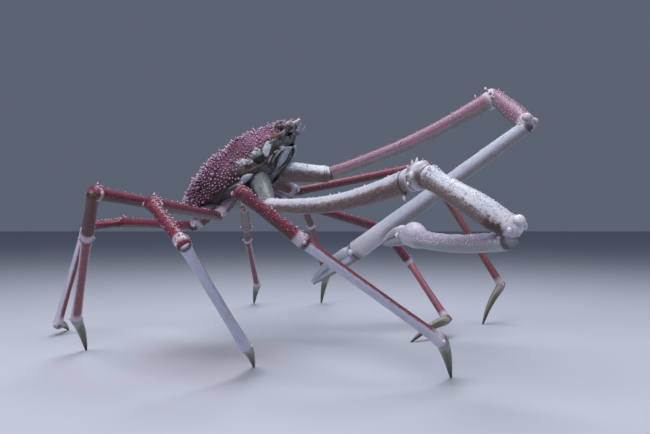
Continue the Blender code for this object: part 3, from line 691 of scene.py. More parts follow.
ARM_COLLARS = (None, (0.925, 0.99), (0.86, 1.04), (0.78, 0.96))
PALM_FORMS = {"right": ((0.0, 0.0125), (0.1, 0.0132), (0.45, 0.0142), (0.72, 0.015), (0.88, 0.0175), (1.0, 0.0155)),
              "left": ((0.0, 0.0125), (0.1, 0.014), (0.45, 0.0165), (0.85, 0.0195), (1.0, 0.018))}
PALM_GRAINS = {"right": 900, "left": 330}
PALM_SAG = {"right": 0.01, "left": 0.0}
WRIST_SHIFT = {"right": Vector((-0.008, 0.0, -0.013)), "left": Vector()}
PALM_HUMPS = {"right": ((0.88, 0.065, 90, 0.62), (0.9, 0.1, -90, 0.08)),
              "left": ((0.95, 0.05, 90, 0.1), (0.95, 0.05, -90, 0.1))}
ARM_PAINTS = {"right": ("arm_root", "arm_right", "carpus_right", "palm_right"),
              "left": ("arm_right", "arm_left", "arm_left", "palm_left")}
TOOTH_COUNT, HINGE_SPREAD, TIP_APART, FINGER_BOW = 13, 0.00925, 0.003, 0.006
FINGER_START = {"fixed": -0.01, "free": 0.004}


def dress_arm(part, side, name):
    """The spines, grains and knobs of one segment of a clawed limb."""
    if name == "base":
        part.thorns(26, (0.0014, 0.0026), (20, 160), (0.35, 0.95))
    elif name == "merus":
        part.thorns(150, (0.0008, 0.0015), (0, 180), stout=0.8)
        part.thorns(40, (0.0008, 0.0014), (180, 360), stout=0.8)
        for turn in (90, 40, 140):
            part.row(turn, 12, (0.0016, 0.003), (0.03, 0.93), stout=0.6)
        for turn in (90, 35, 145, -25, -155, 65, 115, 5, 175):
            part.thorn(0.965, turn, part.draw.uniform(0.006, 0.011), 0.4, lean=0.3)
        turn, height = (-75, 0.014) if side == "right" else (100, 0.01)
        part.thorn(0.9, turn, height, 0.36, 0.75, lean=0.25)
    elif name == "carpus":
        part.thorns(320, (0.0008, 0.0015), (-10, 190), stout=0.85)
        for turn in (30, 80, 140):
            part.row(turn, 8, (0.0016, 0.0028), stout=0.65)
        part.thorns(12, (0.0026, 0.0046), (0, 180), (0.02, 0.08), 0.6)
        for share, turn, height in ((0.985, 70, 0.0085), (1.0, 145, 0.006)):
            part.thorn(share, turn, height, 1.25, 0.3, pale=0.8)
    else:
        part.thorns(PALM_GRAINS[side], (0.0007, 0.0016), (14, 166), (0.02, 0.99), 0.75, 0.4)
        for turn in (6, 174) if side == "right" else ():
            part.row(turn, 40, (0.0018, 0.0028), (0.03, 0.97), stout=0.7, wander=3.0)
            part.row(turn + 9, 34, (0.0014, 0.0022), (0.03, 0.97), stout=0.7, wander=4.0)


def finger(shape, joints, way, sign, kind, **form):
    """One finger of the claw, with its teeth. sign is 1 above the hinge and -1 below it."""
    top = side_frame(way)[0] * sign
    part = Segment(shape, None, joints[4] + top * HINGE_SPREAD + way * FINGER_START[kind],
                   joints[5] + top * TIP_APART, FINGER_FORM, **form)
    part.skin(20, 24)
    for step in range(TOOTH_COUNT):
        part.thorn(0.2 + 0.06 * step, -90 * sign, 0.003 - 0.0001 * step, 0.8)


def build_arm(side, paints):
    joints, ways = joints_of(side, 0)
    draw = random.Random(31 if side == "left" else 17)
    forms = (*ARM_FORMS, PALM_FORMS[side])
    for index, name in enumerate(ARM_NAMES):
        shape, title, palm = Shape(), f"{side}_arm_{name}", name == "palm"
        bow = {"merus": -MERUS_SAG[side], "palm": -PALM_SAG[side]}.get(name, 0.0)
        start = joints[index] + (WRIST_SHIFT[side] if palm else Vector())
        part = Segment(shape, draw, start, joints[index + 1], forms[index], bow, index + 41.0,
                       ridges=0.012 if index else 0.05, collar=ARM_COLLARS[index],
                       humps=PALM_HUMPS[side] if palm else ())
        part.skin(30, 44 if index else 20)
        if index:
            part.knobs(0.36 if palm else 0.3)
        dress_arm(part, side, name)
        if palm:
            finger(shape, joints, ways[4], -1, "fixed", seed=9.0, rims=(0.0, 0.0))
        shape.finish("shell_" + title, paints[ARM_PAINTS[side][index]], "arm", [title])
    shape, title = Shape(), f"{side}_arm_finger"
    finger(shape, joints, ways[4], 1, "free", bow=FINGER_BOW, seed=5.0, rims=(0.08, 0.0))
    shape.finish("shell_" + title, paints["finger"], "claw", [title])


# The body's skin
SHELL_SIDES, SHELL_STEPS = 120, 90
FINE_LUMP, FINE_SCALE = 0.005, 13.0
NECK_GROOVE, SIDE_GROOVE = 0.016, 0.01


def skin_point(along, turn, inset):
    """A point of the body's skin in its own frame, in carapace lengths."""
    width = between(WIDTH, along) * inset
    across = math.copysign(abs(math.cos(turn)) ** ACROSS_POWER, math.cos(turn)) * width
    line = between(SKIN_LINE, along)
    if math.sin(turn) < 0.0:
        return Vector((along, across, line - between(BOTTOM, along) * abs(math.sin(turn)) ** BOTTOM_POWER))
    height = between(TOP, along) * math.sin(turn) ** TOP_POWER
    for forward, outward, spread, swell in SWELLINGS:
        away = ((along - forward) ** 2 + (abs(across) - outward) ** 2) / spread ** 2
        height += swell * math.exp(-away) * min(1.0, height / SWELL_START)
    full = min(1.0, height / SWELL_START)
    curve = along - 0.03 + 0.55 * abs(across)
    height -= NECK_GROOVE * near(curve, 0.02, 0.016) * full * (abs(across) < 0.3)
    height -= SIDE_GROOVE * near(abs(across), 0.105 + 0.2 * max(0.0, along), 0.012) * full * (along < 0.05)
    height += FINE_LUMP * noise.noise(Vector((along, across, 0.0)) * FINE_SCALE) * full
    return Vector((along, across, line + height))


def skin_spot(along, turn):
    here = skin_point(along, turn, 1.0)
    ahead = skin_point(along + 0.01, turn, 1.0) - here
    around = skin_point(along, turn + 0.01, 1.0) - here
    out = ahead.cross(around).normalized()
    if out.dot(here - Vector((along, 0.0, between(SKIN_LINE, along)))) < 0.0:
        out.negate()
    return BODY @ (here * CARAPACE_LENGTH), BODY_TURN @ out


def body_skin(shape, inset, keep_above):
    def place(step, turn):
        front, rear = WIDTH[-1][0], WIDTH[0][0]
        along = (front + rear) / 2 + (front - rear) / 2 * math.cos(math.pi * step / SHELL_STEPS)
        point = skin_point(along, turn, inset)
        if step in (0, SHELL_STEPS):
            point = Vector((along, 0.0, between(SKIN_LINE, along)))
        top = max(0.0, math.sin(turn)) if keep_above else 0.6
        return BODY @ (point * CARAPACE_LENGTH), top, (along - rear) / (front - rear), 0.0, 0.0, point

    shape.ball(SHELL_SIDES, SHELL_STEPS, place)
    margin = BODY @ Vector((0.0, 0.0, MARGIN_UP * CARAPACE_LENGTH))
    normal = BODY_TURN @ (Vector((MARGIN_SLOPE, 0.0, 1.0)) * (-1.0 if keep_above else 1.0))
    shape.cut(margin, normal)


TUBERCLE_COUNT, TUBERCLE_SPACING, TUBERCLE_TRIES = 3100, 0.0064, 30000


def forwardness(along):
    """0 at the rear edge of the carapace and 1 at its front."""
    return (along + 0.49) / 0.96


def build_carapace(paints):
    shape = Shape()
    body_skin(shape, 1.0, True)
    for place, way, height, radius in HEAD_SPINES:
        for sign in (1, -1):
            out = BODY_TURN @ mirrored(way, sign).normalized()
            shape.thorn(on_body(*place, sign), out, height, radius * 1.05, 0.6, 0.9, Vector(place), sides=12,
                        sharp=0.7, pale=0.7)
    spots = {}

    def cell(spot):
        return tuple(int(math.floor(value / TUBERCLE_SPACING)) for value in spot)

    def crowded(spot, room):
        around = itertools.product(*(range(value - 1, value + 2) for value in cell(spot)))
        return any((spot - other).length < room for place in around for other in spots.get(place, ()))

    for along, turn, height in BACK_SPINES:
        for side_turn in {turn, 180.0 - turn}:
            spot, out = skin_spot(along, math.radians(side_turn))
            shape.thorn(spot, out, height, height * SPINE_SLIMNESS, 0.6, forwardness(along), spot, sides=9,
                        sharp=0.75)
            spots.setdefault(cell(spot), []).append(spot)
    draw = random.Random(5)
    made = 0
    for _ in range(TUBERCLE_TRIES):
        if made == TUBERCLE_COUNT:
            break
        along, turn = draw.uniform(-0.475, 0.43), math.radians(draw.uniform(-60, 240))
        big = draw.random() ** 2.2
        spot, out = skin_spot(along, turn)
        home = BODY.inverted() @ spot / CARAPACE_LENGTH
        low = home.z + MARGIN_SLOPE * home.x < MARGIN_UP + 0.014
        if low or (math.sin(turn) < 0.0 and along > 0.13) or crowded(spot, TUBERCLE_SPACING * (0.72 + 0.28 * big)):
            continue
        height = (0.0022 + 0.0048 * big) * (0.7 if math.sin(turn) < 0.2 else 1.0)
        lean = Vector((draw.uniform(-0.2, 0.2), draw.uniform(-0.2, 0.2), 0.0))
        shape.thorn(spot, (out + lean).normalized(), height, 0.0019 + 0.0019 * big, max(0.0, math.sin(turn)),
                    forwardness(along), spot, sides=6, sharp=0.6)
        spots.setdefault(cell(spot), []).append(spot)
        made += 1
    shape.finish("carapace_shell", paints["carapace"], "shell", ["carapace"])


def build_underside(paints):
    shape = Shape()
    body_skin(shape, UNDERSIDE_INSET, False)
    shape.finish("breast_plate", paints["under"], "underside", ["underside"])


# Plates, cords and lobes, given in carapace lengths as (forward, outward, up)
def nothing(share, over):
    return 0.0, 0.0, 0.0


def plate(shape, sign, root, tip, facing, wide, high, marks=nothing, sides=44, steps=34, full=0.7):
    """A closed plate from root to tip that stands out of the body. marks(share, over) gives its lift, how dark it is
    (painted shade, or the brown speckles of spotted) and how pale it is there; over goes from -1 at the outer edge
    to 1 at the edge nearest the midline."""
    start, end = on_body(*root, sign), on_body(*tip, sign)
    axis = (end - start).normalized()
    out = BODY_TURN @ mirrored(facing, sign)
    out = (out - axis * axis.dot(out)).normalized()
    across = axis.cross(out)
    if across.dot(BODY_TURN @ Vector((0.0, -sign, 0.0))) < 0.0:
        across.negate()

    def place(step, turn):
        share = 0.5 - 0.5 * math.cos(math.pi * step / steps)
        over, rise = math.cos(turn), math.sin(turn)
        # The lower half of every plate takes a painted shade of 0.6.
        lift, dark, pale = marks(share, over) if rise > 0.0 else (0.0, 0.6, 0.0)
        broad = between(wide, share) * CARAPACE_LENGTH
        deep = between(high, share) * CARAPACE_LENGTH
        level = deep * rise ** full if rise > 0.0 else 0.6 * deep * rise
        level += lift * CARAPACE_LENGTH * limit(3.0 * rise) * min(1.0, 12.0 * share * (1.0 - share))
        point = start.lerp(end, share) + across * (over * broad) + out * level
        return point, 1.0 - dark, share, 0.0, pale, Vector((share * 0.05, over * 0.01, level))

    shape.ball(sides, steps, place)
    return start, end, across, out


def cord(shape, sign, path, thick, pale=0.0, dark=0.0, sides=12):
    """A closed round cord along a path, thick as (share, radius). dark is how much painted shade it takes all over.
    """
    steps = CORD_STEPS
    points = [on_body(*place, sign) for place in path]
    spots = [[(index / (len(points) - 1), point[axis]) for index, point in enumerate(points)] for axis in range(3)]

    def centre(share):
        return Vector([between(places, share) for places in spots])

    def place(step, turn):
        share = 0.5 - 0.5 * math.cos(math.pi * step / steps)
        ahead = centre(min(1.0, share + 0.03)) - centre(max(0.0, share - 0.03))
        top, across = side_frame(ahead.normalized())
        radius = 0.0 if step in (0, steps) else between(thick, share) * CARAPACE_LENGTH
        point = centre(share) + (top * math.sin(turn) + across * math.cos(turn)) * radius
        return point, 1.0 - dark, share, 0.0, pale, Vector((share * 0.05, math.cos(turn) * radius, 0.0))

    shape.ball(sides, steps, place)


def lobe_spot(sign, centre, sizes, way, swell=1.0):
    middle = centre[0], centre[1] * sign, centre[2]
    spot = Vector([middle[axis] + way[axis] * sizes[axis] * swell for axis in range(3)])
    return BODY @ (spot * CARAPACE_LENGTH)


def lobe(shape, sign, centre, sizes, marks=nothing):
    """A lumpy round lobe. marks reads how far up a spot is and gives its lift, how dark and how pale it is."""
    sides, steps = LOBE_GRID

    def place(step, turn):
        rise, flat = math.cos(math.pi * step / steps), math.sin(math.pi * step / steps)
        way = Vector((flat * math.cos(turn), flat * math.sin(turn) * sign, rise))
        lift, dark, pale = marks(rise, turn)
        swell = 1.0 + 0.1 * noise.noise(way * 2.2) + lift
        return lobe_spot(sign, centre, sizes, way, swell), 1.0 - dark, 0.5, 0.0, pale, way * 0.01

    shape.ball(sides, steps, place)


def knobs_round(shape, sign, centre, sizes, count, heights, above):
    """Seeded knobs on a lobe, above one height and on its outer half."""
    draw = random.Random(23)
    for _ in range(count):
        rise, turn = draw.uniform(above, 0.95), math.radians(draw.uniform(-40, 140))
        flat = math.sqrt(1.0 - rise * rise)
        way = Vector((flat * math.cos(turn), flat * math.sin(turn) * sign, rise))
        height = draw.uniform(*heights)
        shape.thorn(lobe_spot(sign, centre, sizes, way), BODY_TURN @ way, height, height * 0.8, 1.0, 0.5,
                    way * 0.01, sharp=0.4, pale=1.0)


def horn(shape, sign, spot, way, height):
    place = on_body(*spot, sign)
    shape.thorn(place, BODY_TURN @ mirrored(way, sign).normalized(), height, height * 0.36, 1.0, 0.5, place,
                sharp=0.8, pale=0.8)


def build_piece(title, paint, slot, nodes, sign, *parts):
    """A piece joined from parts, each given as its maker and what it is made with."""
    shape = Shape()
    for make, *values in parts:
        make(shape, sign, *values)
    shape.finish(title, paint, slot, nodes)


# Marks: grooves of the long mouth plates as (share, place across)
OUTER_GROOVE = ((0.0, -0.75), (0.3, -0.6), (0.6, -0.48), (0.85, -0.42), (1.0, -0.3))
MIDDLE_GROOVE = ((0.0, -0.3), (0.4, -0.12), (0.55, 0.0), (1.0, 0.2))
BRUSH_EDGE = ((0.4, 0.0), (0.55, 0.28), (0.75, 0.42), (0.95, 0.36))
BRUSH_MIDDLE = 0.08
FLAP_SEAMS = (0.14, 0.28, 0.42, 0.56, 0.7, 0.84)


def brush(share, over):
    """1 on the bristly patch of the mouth plate: a long V with its point towards the root."""
    if not 0.42 < share < 0.93:
        return 0.0
    return limit((between(BRUSH_EDGE, share) - abs(over - BRUSH_MIDDLE)) * 12.0)


def mouth_marks(share, over):
    outer = near(over, between(OUTER_GROOVE, share), 0.115)
    middle = near(over, between(MIDDLE_GROOVE, share), 0.05) * (share < 0.5)
    furry = brush(share, over)
    edge = between(BRUSH_EDGE, share) + 0.12
    rim = 0.0 if furry else near(abs(over - BRUSH_MIDDLE), edge, 0.09) * (share > 0.45)
    band = near(over, between(OUTER_GROOVE, share) - 0.24, 0.1) * (share > 0.35)
    seam = near(share, 0.435, 0.012) * (-0.45 < over < 0.9)
    top = near(share, 0.95, 0.03)
    lift = 0.01 * band + 0.004 * furry - 0.026 * outer - 0.012 * middle - 0.018 * rim - 0.006 * seam
    # The dark value is painted shade: in the grooves, round the brush, along the seam and at the edge nearest the
    # midline, between the plates.
    dark = max(outer, 0.8 * middle, 0.75 * rim, 0.7 * seam, near(over, 1.0, 0.16))
    return lift, dark, max(0.7 * furry, 0.75 * band, 0.9 * top * (1.0 - outer))


def flap_marks(share, over):
    seam = max(near(share, place, 0.012) for place in FLAP_SEAMS)
    keel = near(over, 0.0, 0.22)
    # The dark value is painted shade in the seams between the flap's segments.
    return 0.01 * keel - 0.012 * seam, 0.85 * seam, 0.35 * keel


def strip_marks(share, over):
    # The dark value is painted shade along the edge nearest the midline.
    return 0.0, 0.55 * near(over, 1.0, 0.25), 1.0


def face_marks(share, over):
    seam = near(over, -0.1 + 0.5 * share, 0.07) * (share > 0.35)
    pit = near(share, 0.25, 0.05) * near(over, -0.35, 0.14)
    # The dark value is painted shade in the seam, the pit and at the edge nearest the midline.
    return -0.006 * seam - 0.008 * pit, max(0.7 * seam, 0.7 * pit, 0.8 * near(over, 1.0, 0.14)), 0.0


def spotted(share, over):
    dark = limit((noise.noise(Vector((share * 9.0, over * 3.4, 3.0))) - 0.16) * 9.0)
    return -0.006 * dark, dark, 1.0


def lobe_marks(rise, turn):
    # Painted shade on the lobe's lower part; its upper part is white.
    return 0.0, limit(0.35 - rise, 0.0, 0.7), limit((rise - 0.35) * 2.0, 0.0, 0.8)


def rib_marks(share, over):
    rib = math.cos(over * 9.0) ** 2
    # The dark value is painted shade in the grooves between the ribs.
    return 0.006 * rib, 0.75 * (1.0 - rib), 0.0


MOUTH_FACING = (0.315, 0.51, -0.8)
MOUTH_ROOT, MOUTH_TIP = (0.12, 0.066, -0.18), (0.384, 0.048, -0.1)
MOUTH_WIDE = ((0.0, 0.0), (0.06, 0.028), (0.3, 0.056), (0.62, 0.07), (0.85, 0.062), (0.96, 0.038), (1.0, 0.0))
MOUTH_HIGH = ((0.0, 0.0), (0.1, 0.02), (0.5, 0.03), (0.9, 0.024), (1.0, 0.0))
BRISTLE_COUNT, RIM_SPINE_COUNT = 90, 26
FACE_WIDE = ((0.0, 0.0), (0.04, 0.6), (0.3, 0.95), (0.7, 1.0), (0.95, 0.7), (1.0, 0.0))
PLATE_RISE = ((0.0, 0.0), (0.1, 0.55), (0.5, 1.0), (0.9, 0.55), (1.0, 0.0))
STRIP_WIDE = ((0.0, 0.0), (0.25, 0.3), (0.5, 0.62), (0.72, 1.0), (0.9, 0.62), (1.0, 0.0))
FLAP_WIDE = ((0.0, 0.0), (0.05, 0.05), (0.3, 0.082), (0.6, 0.07), (0.85, 0.052), (0.97, 0.026), (1.0, 0.0))
FLAP_HIGH = ((0.0, 0.0), (0.1, 0.024), (0.5, 0.03), (0.92, 0.02), (1.0, 0.0))
LOBE = (0.246, 0.2, -0.076), (0.046, 0.044, 0.042)
LOBE_GRID, CORD_STEPS = (32, 24), 36
EYE_PLACE, EYE_SIZES = (0.436, 0.1, 0.01), (0.0125, 0.0125, 0.0125)
STERNUM_ROWS = ((0.04, 0.036), (-0.055, 0.034), (-0.14, 0.03), (-0.215, 0.026))
FOLDS = (((0.135, 0.306, -0.086), (0.205, 0.235, -0.122), (0.272, 0.172, -0.118)),
         ((0.15, 0.29, -0.112), (0.2, 0.212, -0.137), (0.262, 0.156, -0.13)),
         ((0.15, 0.268, -0.134), (0.18, 0.185, -0.154), (0.232, 0.14, -0.146)))
FOLD_THICK = ((0.0, 0.3 * 0.012), (0.5, 0.012), (1.0, 0.5 * 0.012))


def scaled(form, size):
    return tuple((share, value * size) for share, value in form)


def taper(first, middle, last, at=0.5):
    """A cord's half-thickness at its start, on the way and at its end."""
    return (0.0, first), (at, middle), (1.0, last)


def build_mouth(side, sign, paints):
    shape = Shape()
    start, end, across, out = plate(shape, sign, MOUTH_ROOT, MOUTH_TIP, MOUTH_FACING, MOUTH_WIDE, MOUTH_HIGH,
                                    mouth_marks, 72, 60)
    draw = random.Random(61)
    made = 0
    while made < BRISTLE_COUNT:
        share, over = draw.uniform(0.42, 0.97), draw.uniform(-0.95, 0.6)
        if brush(share, over) < 0.5 and share < 0.94:
            continue
        broad = between(MOUTH_WIDE, share) * CARAPACE_LENGTH
        deep = between(MOUTH_HIGH, share) * CARAPACE_LENGTH * (1.0 - over * over) ** 0.35
        spot = start.lerp(end, share) + across * (over * broad) + out * deep
        height = draw.uniform(0.0016, 0.003)
        way = (out + across * draw.uniform(-0.3, 0.3)).normalized()
        shape.thorn(spot, way, height, height * 0.42, 1.0, share, spot, pale=1.0)
        made += 1
    for share, over, height in ((0.97, 0.5, 0.0075), (0.8, 0.98, 0.005), (0.55, 0.98, 0.0045)):
        spot = start.lerp(end, share) + across * (over * between(MOUTH_WIDE, share) * CARAPACE_LENGTH)
        way = (out + across).normalized()
        shape.thorn(spot, way, height, height * 0.4, 1.0, share, spot, sharp=0.8, pale=1.0)
    shape.finish(f"{side}_mouth_plate", paints["mouth"], "underside", [f"{side}_maxilliped"])
    shape = Shape()
    cord(shape, sign, ((0.215, 0.148, -0.142), (0.268, 0.146, -0.118), (0.306, 0.13, -0.1)),
         taper(0.004, 0.011, 0.006), 0.8)
    cord(shape, sign, ((0.312, 0.132, -0.092), (0.346, 0.092, -0.098), (0.38, 0.044, -0.112),
                       (0.388, 0.012, -0.12)), taper(0.005, 0.009, 0.006), 1.0)
    for _ in range(RIM_SPINE_COUNT):
        share = draw.uniform(0.05, 0.95)
        spot = on_body(0.314 + 0.074 * share, 0.132 - 0.118 * share, -0.096 - 0.026 * share, sign)
        height = draw.uniform(0.002, 0.0038)
        way = BODY_TURN @ mirrored((0.5, 0.6 + draw.uniform(-0.3, 0.3), -0.4), sign).normalized()
        shape.thorn(spot, way, height, height * 0.4, 1.0, share, spot, pale=1.0)
    shape.finish(f"{side}_mouth_rim", paints["mouth"], "underside", [])


def build_face(side, sign, paints):
    def piece(name, paint, slot, *parts, node=None):
        build_piece(f"{side}_{name}", paints[paint], slot, [f"{side}_{node}"] if node else [], sign, *parts)

    piece("eye_stalk", "face", "eye",
          (cord, ((0.404, 0.052, 0.004), (0.42, 0.076, 0.006), (0.432, 0.092, 0.008)),
           taper(0.011, 0.0095, 0.012, 0.6), 0.75))
    piece("eye_ball", "eye", "eye", (lobe, EYE_PLACE, EYE_SIZES), node="eye")
    # A near-black lobe of painted shade in the orbit round the eye.
    piece("eye_hollow", "hollow", "shell", (lobe, (0.424, 0.074, -0.004), (0.034, 0.022, 0.026)))
    piece("orbit_rim", "face", "shell",
          (cord, ((0.388, 0.108, 0.004), (0.4, 0.1, 0.03), (0.436, 0.084, 0.042), (0.468, 0.07, 0.028)),
           taper(0.009, 0.0085, 0.006), 0.35),
          (cord, ((0.388, 0.108, 0.0), (0.398, 0.108, -0.02), (0.426, 0.104, -0.03), (0.456, 0.092, -0.024)),
           taper(0.008, 0.006, 0.004), 0.55),
          (horn, (0.404, 0.1, 0.03), (0.1, 0.5, 0.9), 0.006),
          (horn, (0.44, 0.086, 0.038), (0.3, 0.3, 1.0), 0.0055),
          (horn, (0.474, 0.084, 0.014), (0.9, 0.4, 0.4), 0.008))
    piece("cheek_ridge", "ridge", "shell",
          (cord, ((0.274, 0.192, -0.006), (0.319, 0.162, -0.014), (0.371, 0.126, -0.018), (0.415, 0.102, -0.036)),
           ((0.0, 0.003), (0.3, 0.007), (0.8, 0.007), (1.0, 0.005))))
    piece("feeler", "face", "antenna",
          (cord, ((0.392, 0.09, -0.042), (0.418, 0.106, -0.048), (0.438, 0.118, -0.05)),
           taper(0.011, 0.0095, 0.006, 0.7), 0.12),
          (cord, ((0.434, 0.116, -0.05), (0.454, 0.126, -0.047), (0.47, 0.132, -0.038)),
           taper(0.0065, 0.0052, 0.0035, 0.7), 0.35),
          (cord, ((0.466, 0.13, -0.041), (0.476, 0.134, -0.035), (0.483, 0.137, -0.026)),
           taper(0.0036, 0.0026, 0.0012), 0.5), node="antenna")
    piece("small_feeler", "face", "antenna",
          (cord, ((0.44, 0.03, -0.036), (0.47, 0.036, -0.05), (0.488, 0.04, -0.04)),
           taper(0.0065, 0.005, 0.002, 0.6), 0.5),
          (cord, ((0.484, 0.04, -0.042), (0.5, 0.046, -0.026), (0.506, 0.05, -0.008)),
           ((0.0, 0.003), (1.0, 0.0008)), 0.6))
    piece("face_plate", "olive", "shell",
          (plate, (0.326, 0.156, -0.05), (0.41, 0.018, -0.078), (0.6, 0.42, -0.68),
           scaled(FACE_WIDE, 0.036), scaled(FACE_WIDE, 0.016), face_marks, 44, 34, 0.45))
    # A near-black cord of painted shade along the mouth's frame, beside the mouth plates.
    piece("mouth_frame", "mouth", "underside",
          (cord, ((0.3, 0.15, -0.098), (0.32, 0.134, -0.082), (0.352, 0.094, -0.09), (0.388, 0.034, -0.1)),
           taper(0.006, 0.008, 0.006), 0.0, 1.0))
    piece("cheek_patch", "olive", "shell",
          (plate, (0.35, 0.146, -0.03), (0.282, 0.184, -0.096), (0.65, 0.74, -0.15), scaled(FACE_WIDE, 0.023),
           scaled(FACE_WIDE, 0.009), strip_marks, 44, 34, 0.6))
    piece("cheek_lobe", "olive", "shell", (lobe, *LOBE, lobe_marks), (knobs_round, *LOBE, 16, (0.0026, 0.005), 0.3))
    piece("margin_strip", "olive", "shell",
          (plate, (0.15, 0.303, -0.036), (0.232, 0.24, -0.09), (0.62, 0.78, 0.0), scaled(PLATE_RISE, 0.023),
           scaled(PLATE_RISE, 0.011), spotted),
          (plate, (-0.04, 0.33, -0.122), (0.19, 0.258, -0.15), (0.1, 0.75, -0.65), scaled(STRIP_WIDE, 0.026),
           scaled(STRIP_WIDE, 0.016), strip_marks))
    piece("cheek_folds", "fold", "shell", *((cord, path, FOLD_THICK, 0.0, 0.12, 18) for path in FOLDS))
    piece("breast_ribs", "olive", "underside",
          (plate, (0.06, 0.15, -0.15), (0.185, 0.04, -0.196), (0.35, 0.35, -0.87),
           scaled(PLATE_RISE, 0.06), scaled(PLATE_RISE, 0.024), rib_marks, 60, 30))


def sternum_row(shape, sign, forward, wide):
    for half in (sign, -sign):
        plate(shape, half, (forward, 0.15, -0.148), (forward + 0.012, 0.03, -0.172), (0.0, 0.1, -1.0),
              scaled(PLATE_RISE, wide), scaled(PLATE_RISE, 0.018), nothing, 28, 20)


def build_small_parts(paints):
    for side, sign in SIGNS.items():
        build_mouth(side, sign, paints)
        build_face(side, sign, paints)
    build_piece("lip_plate", paints["olive"], "shell", [], 1,
                (plate, (0.372, 0.0, -0.086), (0.452, 0.0, -0.052), (0.6, 0.0, -0.8), scaled(PLATE_RISE, 0.04),
                 scaled(PLATE_RISE, 0.02), face_marks))
    build_piece("sternum_plates", paints["flap"], "underside", [], 1, *((sternum_row, *row) for row in STERNUM_ROWS))
    build_piece("tail_flap", paints["flap"], "underside", ["abdomen"], 1,
                (plate, (-0.345, 0.0, -0.118), (0.075, 0.0, -0.176), (0.0, 0.0, -1.0), FLAP_WIDE, FLAP_HIGH,
                 flap_marks, 60, 90))


LAMPS = (("key_light", (-0.9, -1.6, 2.2), 1.4, 44.0, (1.0, 0.97, 0.94)),
         ("fill_light", (1.8, -1.2, 1.4), 1.6, 9.0, (0.86, 0.9, 1.0)),
         ("top_light", (0.2, 0.3, 2.3), 1.6, 44.0, (0.92, 0.94, 1.0)))
LAMP_AIM = Vector((-0.02, -0.05, 0.25))
FLOOR_SIZE, FLOOR_DROP, FLOOR_COLOUR = 12.0, 0.0005, (0.46, 0.48, 0.55, 1.0)
AIR_COLOUR, AIR_STRENGTH = (0.4, 0.46, 0.62, 1.0), 0.27


def put_in_scene(name, data, place):
    thing = bpy.data.objects.new(name, data)
    thing.location = place
    bpy.context.scene.collection.objects.link(thing)
    return thing


def build_studio():
    """Pale floor, soft lights and the camera at the photograph's place."""
    scene = bpy.context.scene
    bed = bmesh.new()
    bmesh.ops.create_grid(bed, x_segments=2, y_segments=2, size=FLOOR_SIZE)
    mesh = bpy.data.meshes.new("studio_floor")
    bed.to_mesh(mesh)
    bed.free()
    paint = Paint("floor_paint", 0.8)
    paint.shader["Base Color"].default_value = FLOOR_COLOUR
    mesh.materials.append(paint.material)
    put_in_scene("studio_floor", mesh, (0.0, 0.0, -FLOOR_DROP))
    scene.world = bpy.data.worlds.new("studio_air")
    scene.world.use_nodes = True
    air = scene.world.node_tree.nodes["Background"].inputs
    air["Color"].default_value, air["Strength"].default_value = AIR_COLOUR, AIR_STRENGTH
    scene.view_settings.view_transform = "Standard"
    for name, place, size, power, colour in LAMPS:
        lamp = bpy.data.lights.new(name, "AREA")
        lamp.shape, lamp.size, lamp.energy, lamp.color = "SQUARE", size, power, colour
        aim = LAMP_AIM - Vector(place)
        put_in_scene(name, lamp, place).rotation_euler = aim.to_track_quat("-Z", "Y").to_euler()
    view = bpy.data.cameras.new("photo_camera")
    view.sensor_width, view.clip_start = SENSOR, 0.02
    view.lens = FOCAL_PIXELS * SENSOR / PICTURE_WIDTH
    scene.camera = put_in_scene("photo_camera", view, SHIFT + Vector((0.0, 0.0, EYE_LEVEL)))
    scene.camera.rotation_euler = (math.radians(90.0), 0.0, 0.0)


LEG_WHITE, LEG_TIP, ARM_WHITE, ARM_TIP = (0.52, 0.52, 0.66), (0.66, 0.64, 0.74), (0.58, 0.6, 0.7), (0.72, 0.72, 0.8)
PLATE_PAINTS = {
    "under": ("under_shell", (0.145, 0.14, 0.13), (0.06, 0.035, 0.03)),
    "flap": ("flap_shell", (0.3, 0.29, 0.29), (0.12, 0.09, 0.08)),
    "mouth": ("mouth_shell", (0.12, 0.138, 0.15), (0.036, 0.014, 0.013)),
    "olive": ("face_shell", (0.125, 0.15, 0.165), (0.055, 0.04, 0.034), 0.5),
    "face": ("rim_shell", (0.17, 0.1, 0.14), (0.07, 0.02, 0.035)),
    "ridge": ("ridge_shell", (0.24, 0.09, 0.035), (0.12, 0.04, 0.025)),
    "fold": ("fold_shell", (0.125, 0.12, 0.11), (0.05, 0.018, 0.016)),
    # Near-black: the painted shade of the eye's hollow.
    "hollow": ("eye_hollow", (0.012, 0.008, 0.01), (0.01, 0.004, 0.004))}
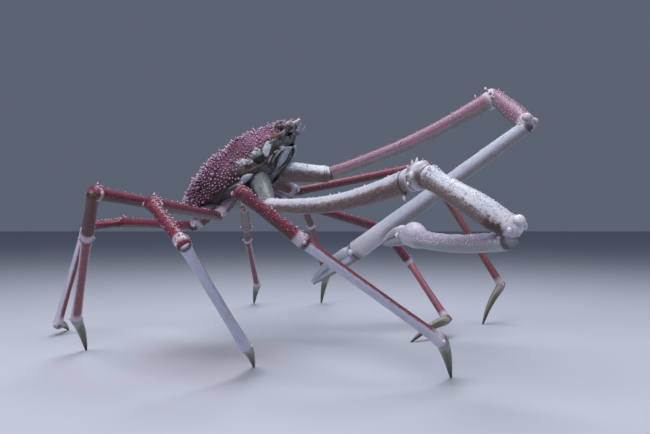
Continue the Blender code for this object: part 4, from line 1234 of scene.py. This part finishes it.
LIMB_PAINTS = {
    "leg": (("leg_shell", (0.16, 0.011, 0.038), (0.08, 0.018, 0.016), (0.105, 0.01, 0.022),
             (0.62, 0.44, 0.58)), {}),
    "pale": (("pale_leg_shell", LEG_WHITE, (0.185, 0.034, 0.044), (0.24, 0.04, 0.052), LEG_TIP),
             {"split": 0.17, "blotch": 0.1, "streak": 0.25}),
    "coxa": (("coxa_shell", (0.4, 0.33, 0.44), (0.115, 0.038, 0.04), (0.16, 0.03, 0.045),
              (0.64, 0.6, 0.7)), {"split": 0.46, "jag": 0.5}),
    "front": (("front_leg_shell", LEG_WHITE, (0.175, 0.03, 0.04), (0.23, 0.038, 0.05), LEG_TIP),
              {"split": 0.29, "blotch": 0.1, "streak": 0.25, "flip": True}),
    "rust": (("rust_leg_shell", (0.25, 0.075, 0.095), (0.17, 0.05, 0.045), (0.3, 0.1, 0.09),
              (0.58, 0.48, 0.54)), {}),
    "arm_right": (("arm_shell_right", ARM_WHITE, (0.135, 0.08, 0.075), (0.24, 0.17, 0.18), ARM_TIP),
                  {"jag": 0.55, "split": 0.52, "rings": (0.905, 0.955)}),
    "carpus_right": (("carpus_shell_right", ARM_WHITE, (0.15, 0.115, 0.105), (0.24, 0.18, 0.18), ARM_TIP),
                     {"jag": 0.75, "split": 0.5, "shade_patch": (0.74, 0.94, 0.42)}),
    "arm_left": (("arm_shell_left", (0.205, 0.085, 0.15), (0.22, 0.215, 0.195), (0.3, 0.19, 0.24),
                  (0.58, 0.5, 0.62)), {"split": 0.42}),
    "arm_root": (("arm_root_shell", (0.17, 0.19, 0.21), (0.085, 0.09, 0.08), (0.04, 0.038, 0.036),
                  (0.44, 0.45, 0.5)), {"split": 0.6, "streak": 0.85}),
    "palm_right": (("palm_shell_right", (0.31, 0.27, 0.39), (0.24, 0.29, 0.3), (0.42, 0.36, 0.42),
                    (0.74, 0.72, 0.8)), {"split": 0.46, "jag": 0.12}),
    "palm_left": (("palm_shell_left", (0.52, 0.56, 0.68), (0.22, 0.22, 0.21), (0.4, 0.34, 0.46),
                   (0.66, 0.68, 0.78)), {"jag": 0.35, "split": 0.36, "rings": (0.985,)})}


def main():
    paints = {name: plate_material(*values) for name, values in PLATE_PAINTS.items()}
    paints.update({name: limb_material(*values, **more) for name, (values, more) in LIMB_PAINTS.items()})
    paints["foot"] = horn_material("foot_horn", (0.3, 0.29, 0.25), (0.105, 0.105, 0.065), (0.02, 0.02, 0.014))
    paints["finger"] = horn_material("finger_horn", (0.54, 0.58, 0.66), (0.46, 0.5, 0.57), (0.58, 0.58, 0.62))
    paints["eye"], paints["carapace"] = eye_material(), carapace_material()
    build_carapace(paints)
    build_underside(paints)
    build_small_parts(paints)
    for side, number in LEG_POSE:
        build_leg(side, number, paints)
    for side in ARM_POSE:
        build_arm(side, paints)
    build_studio()


main()
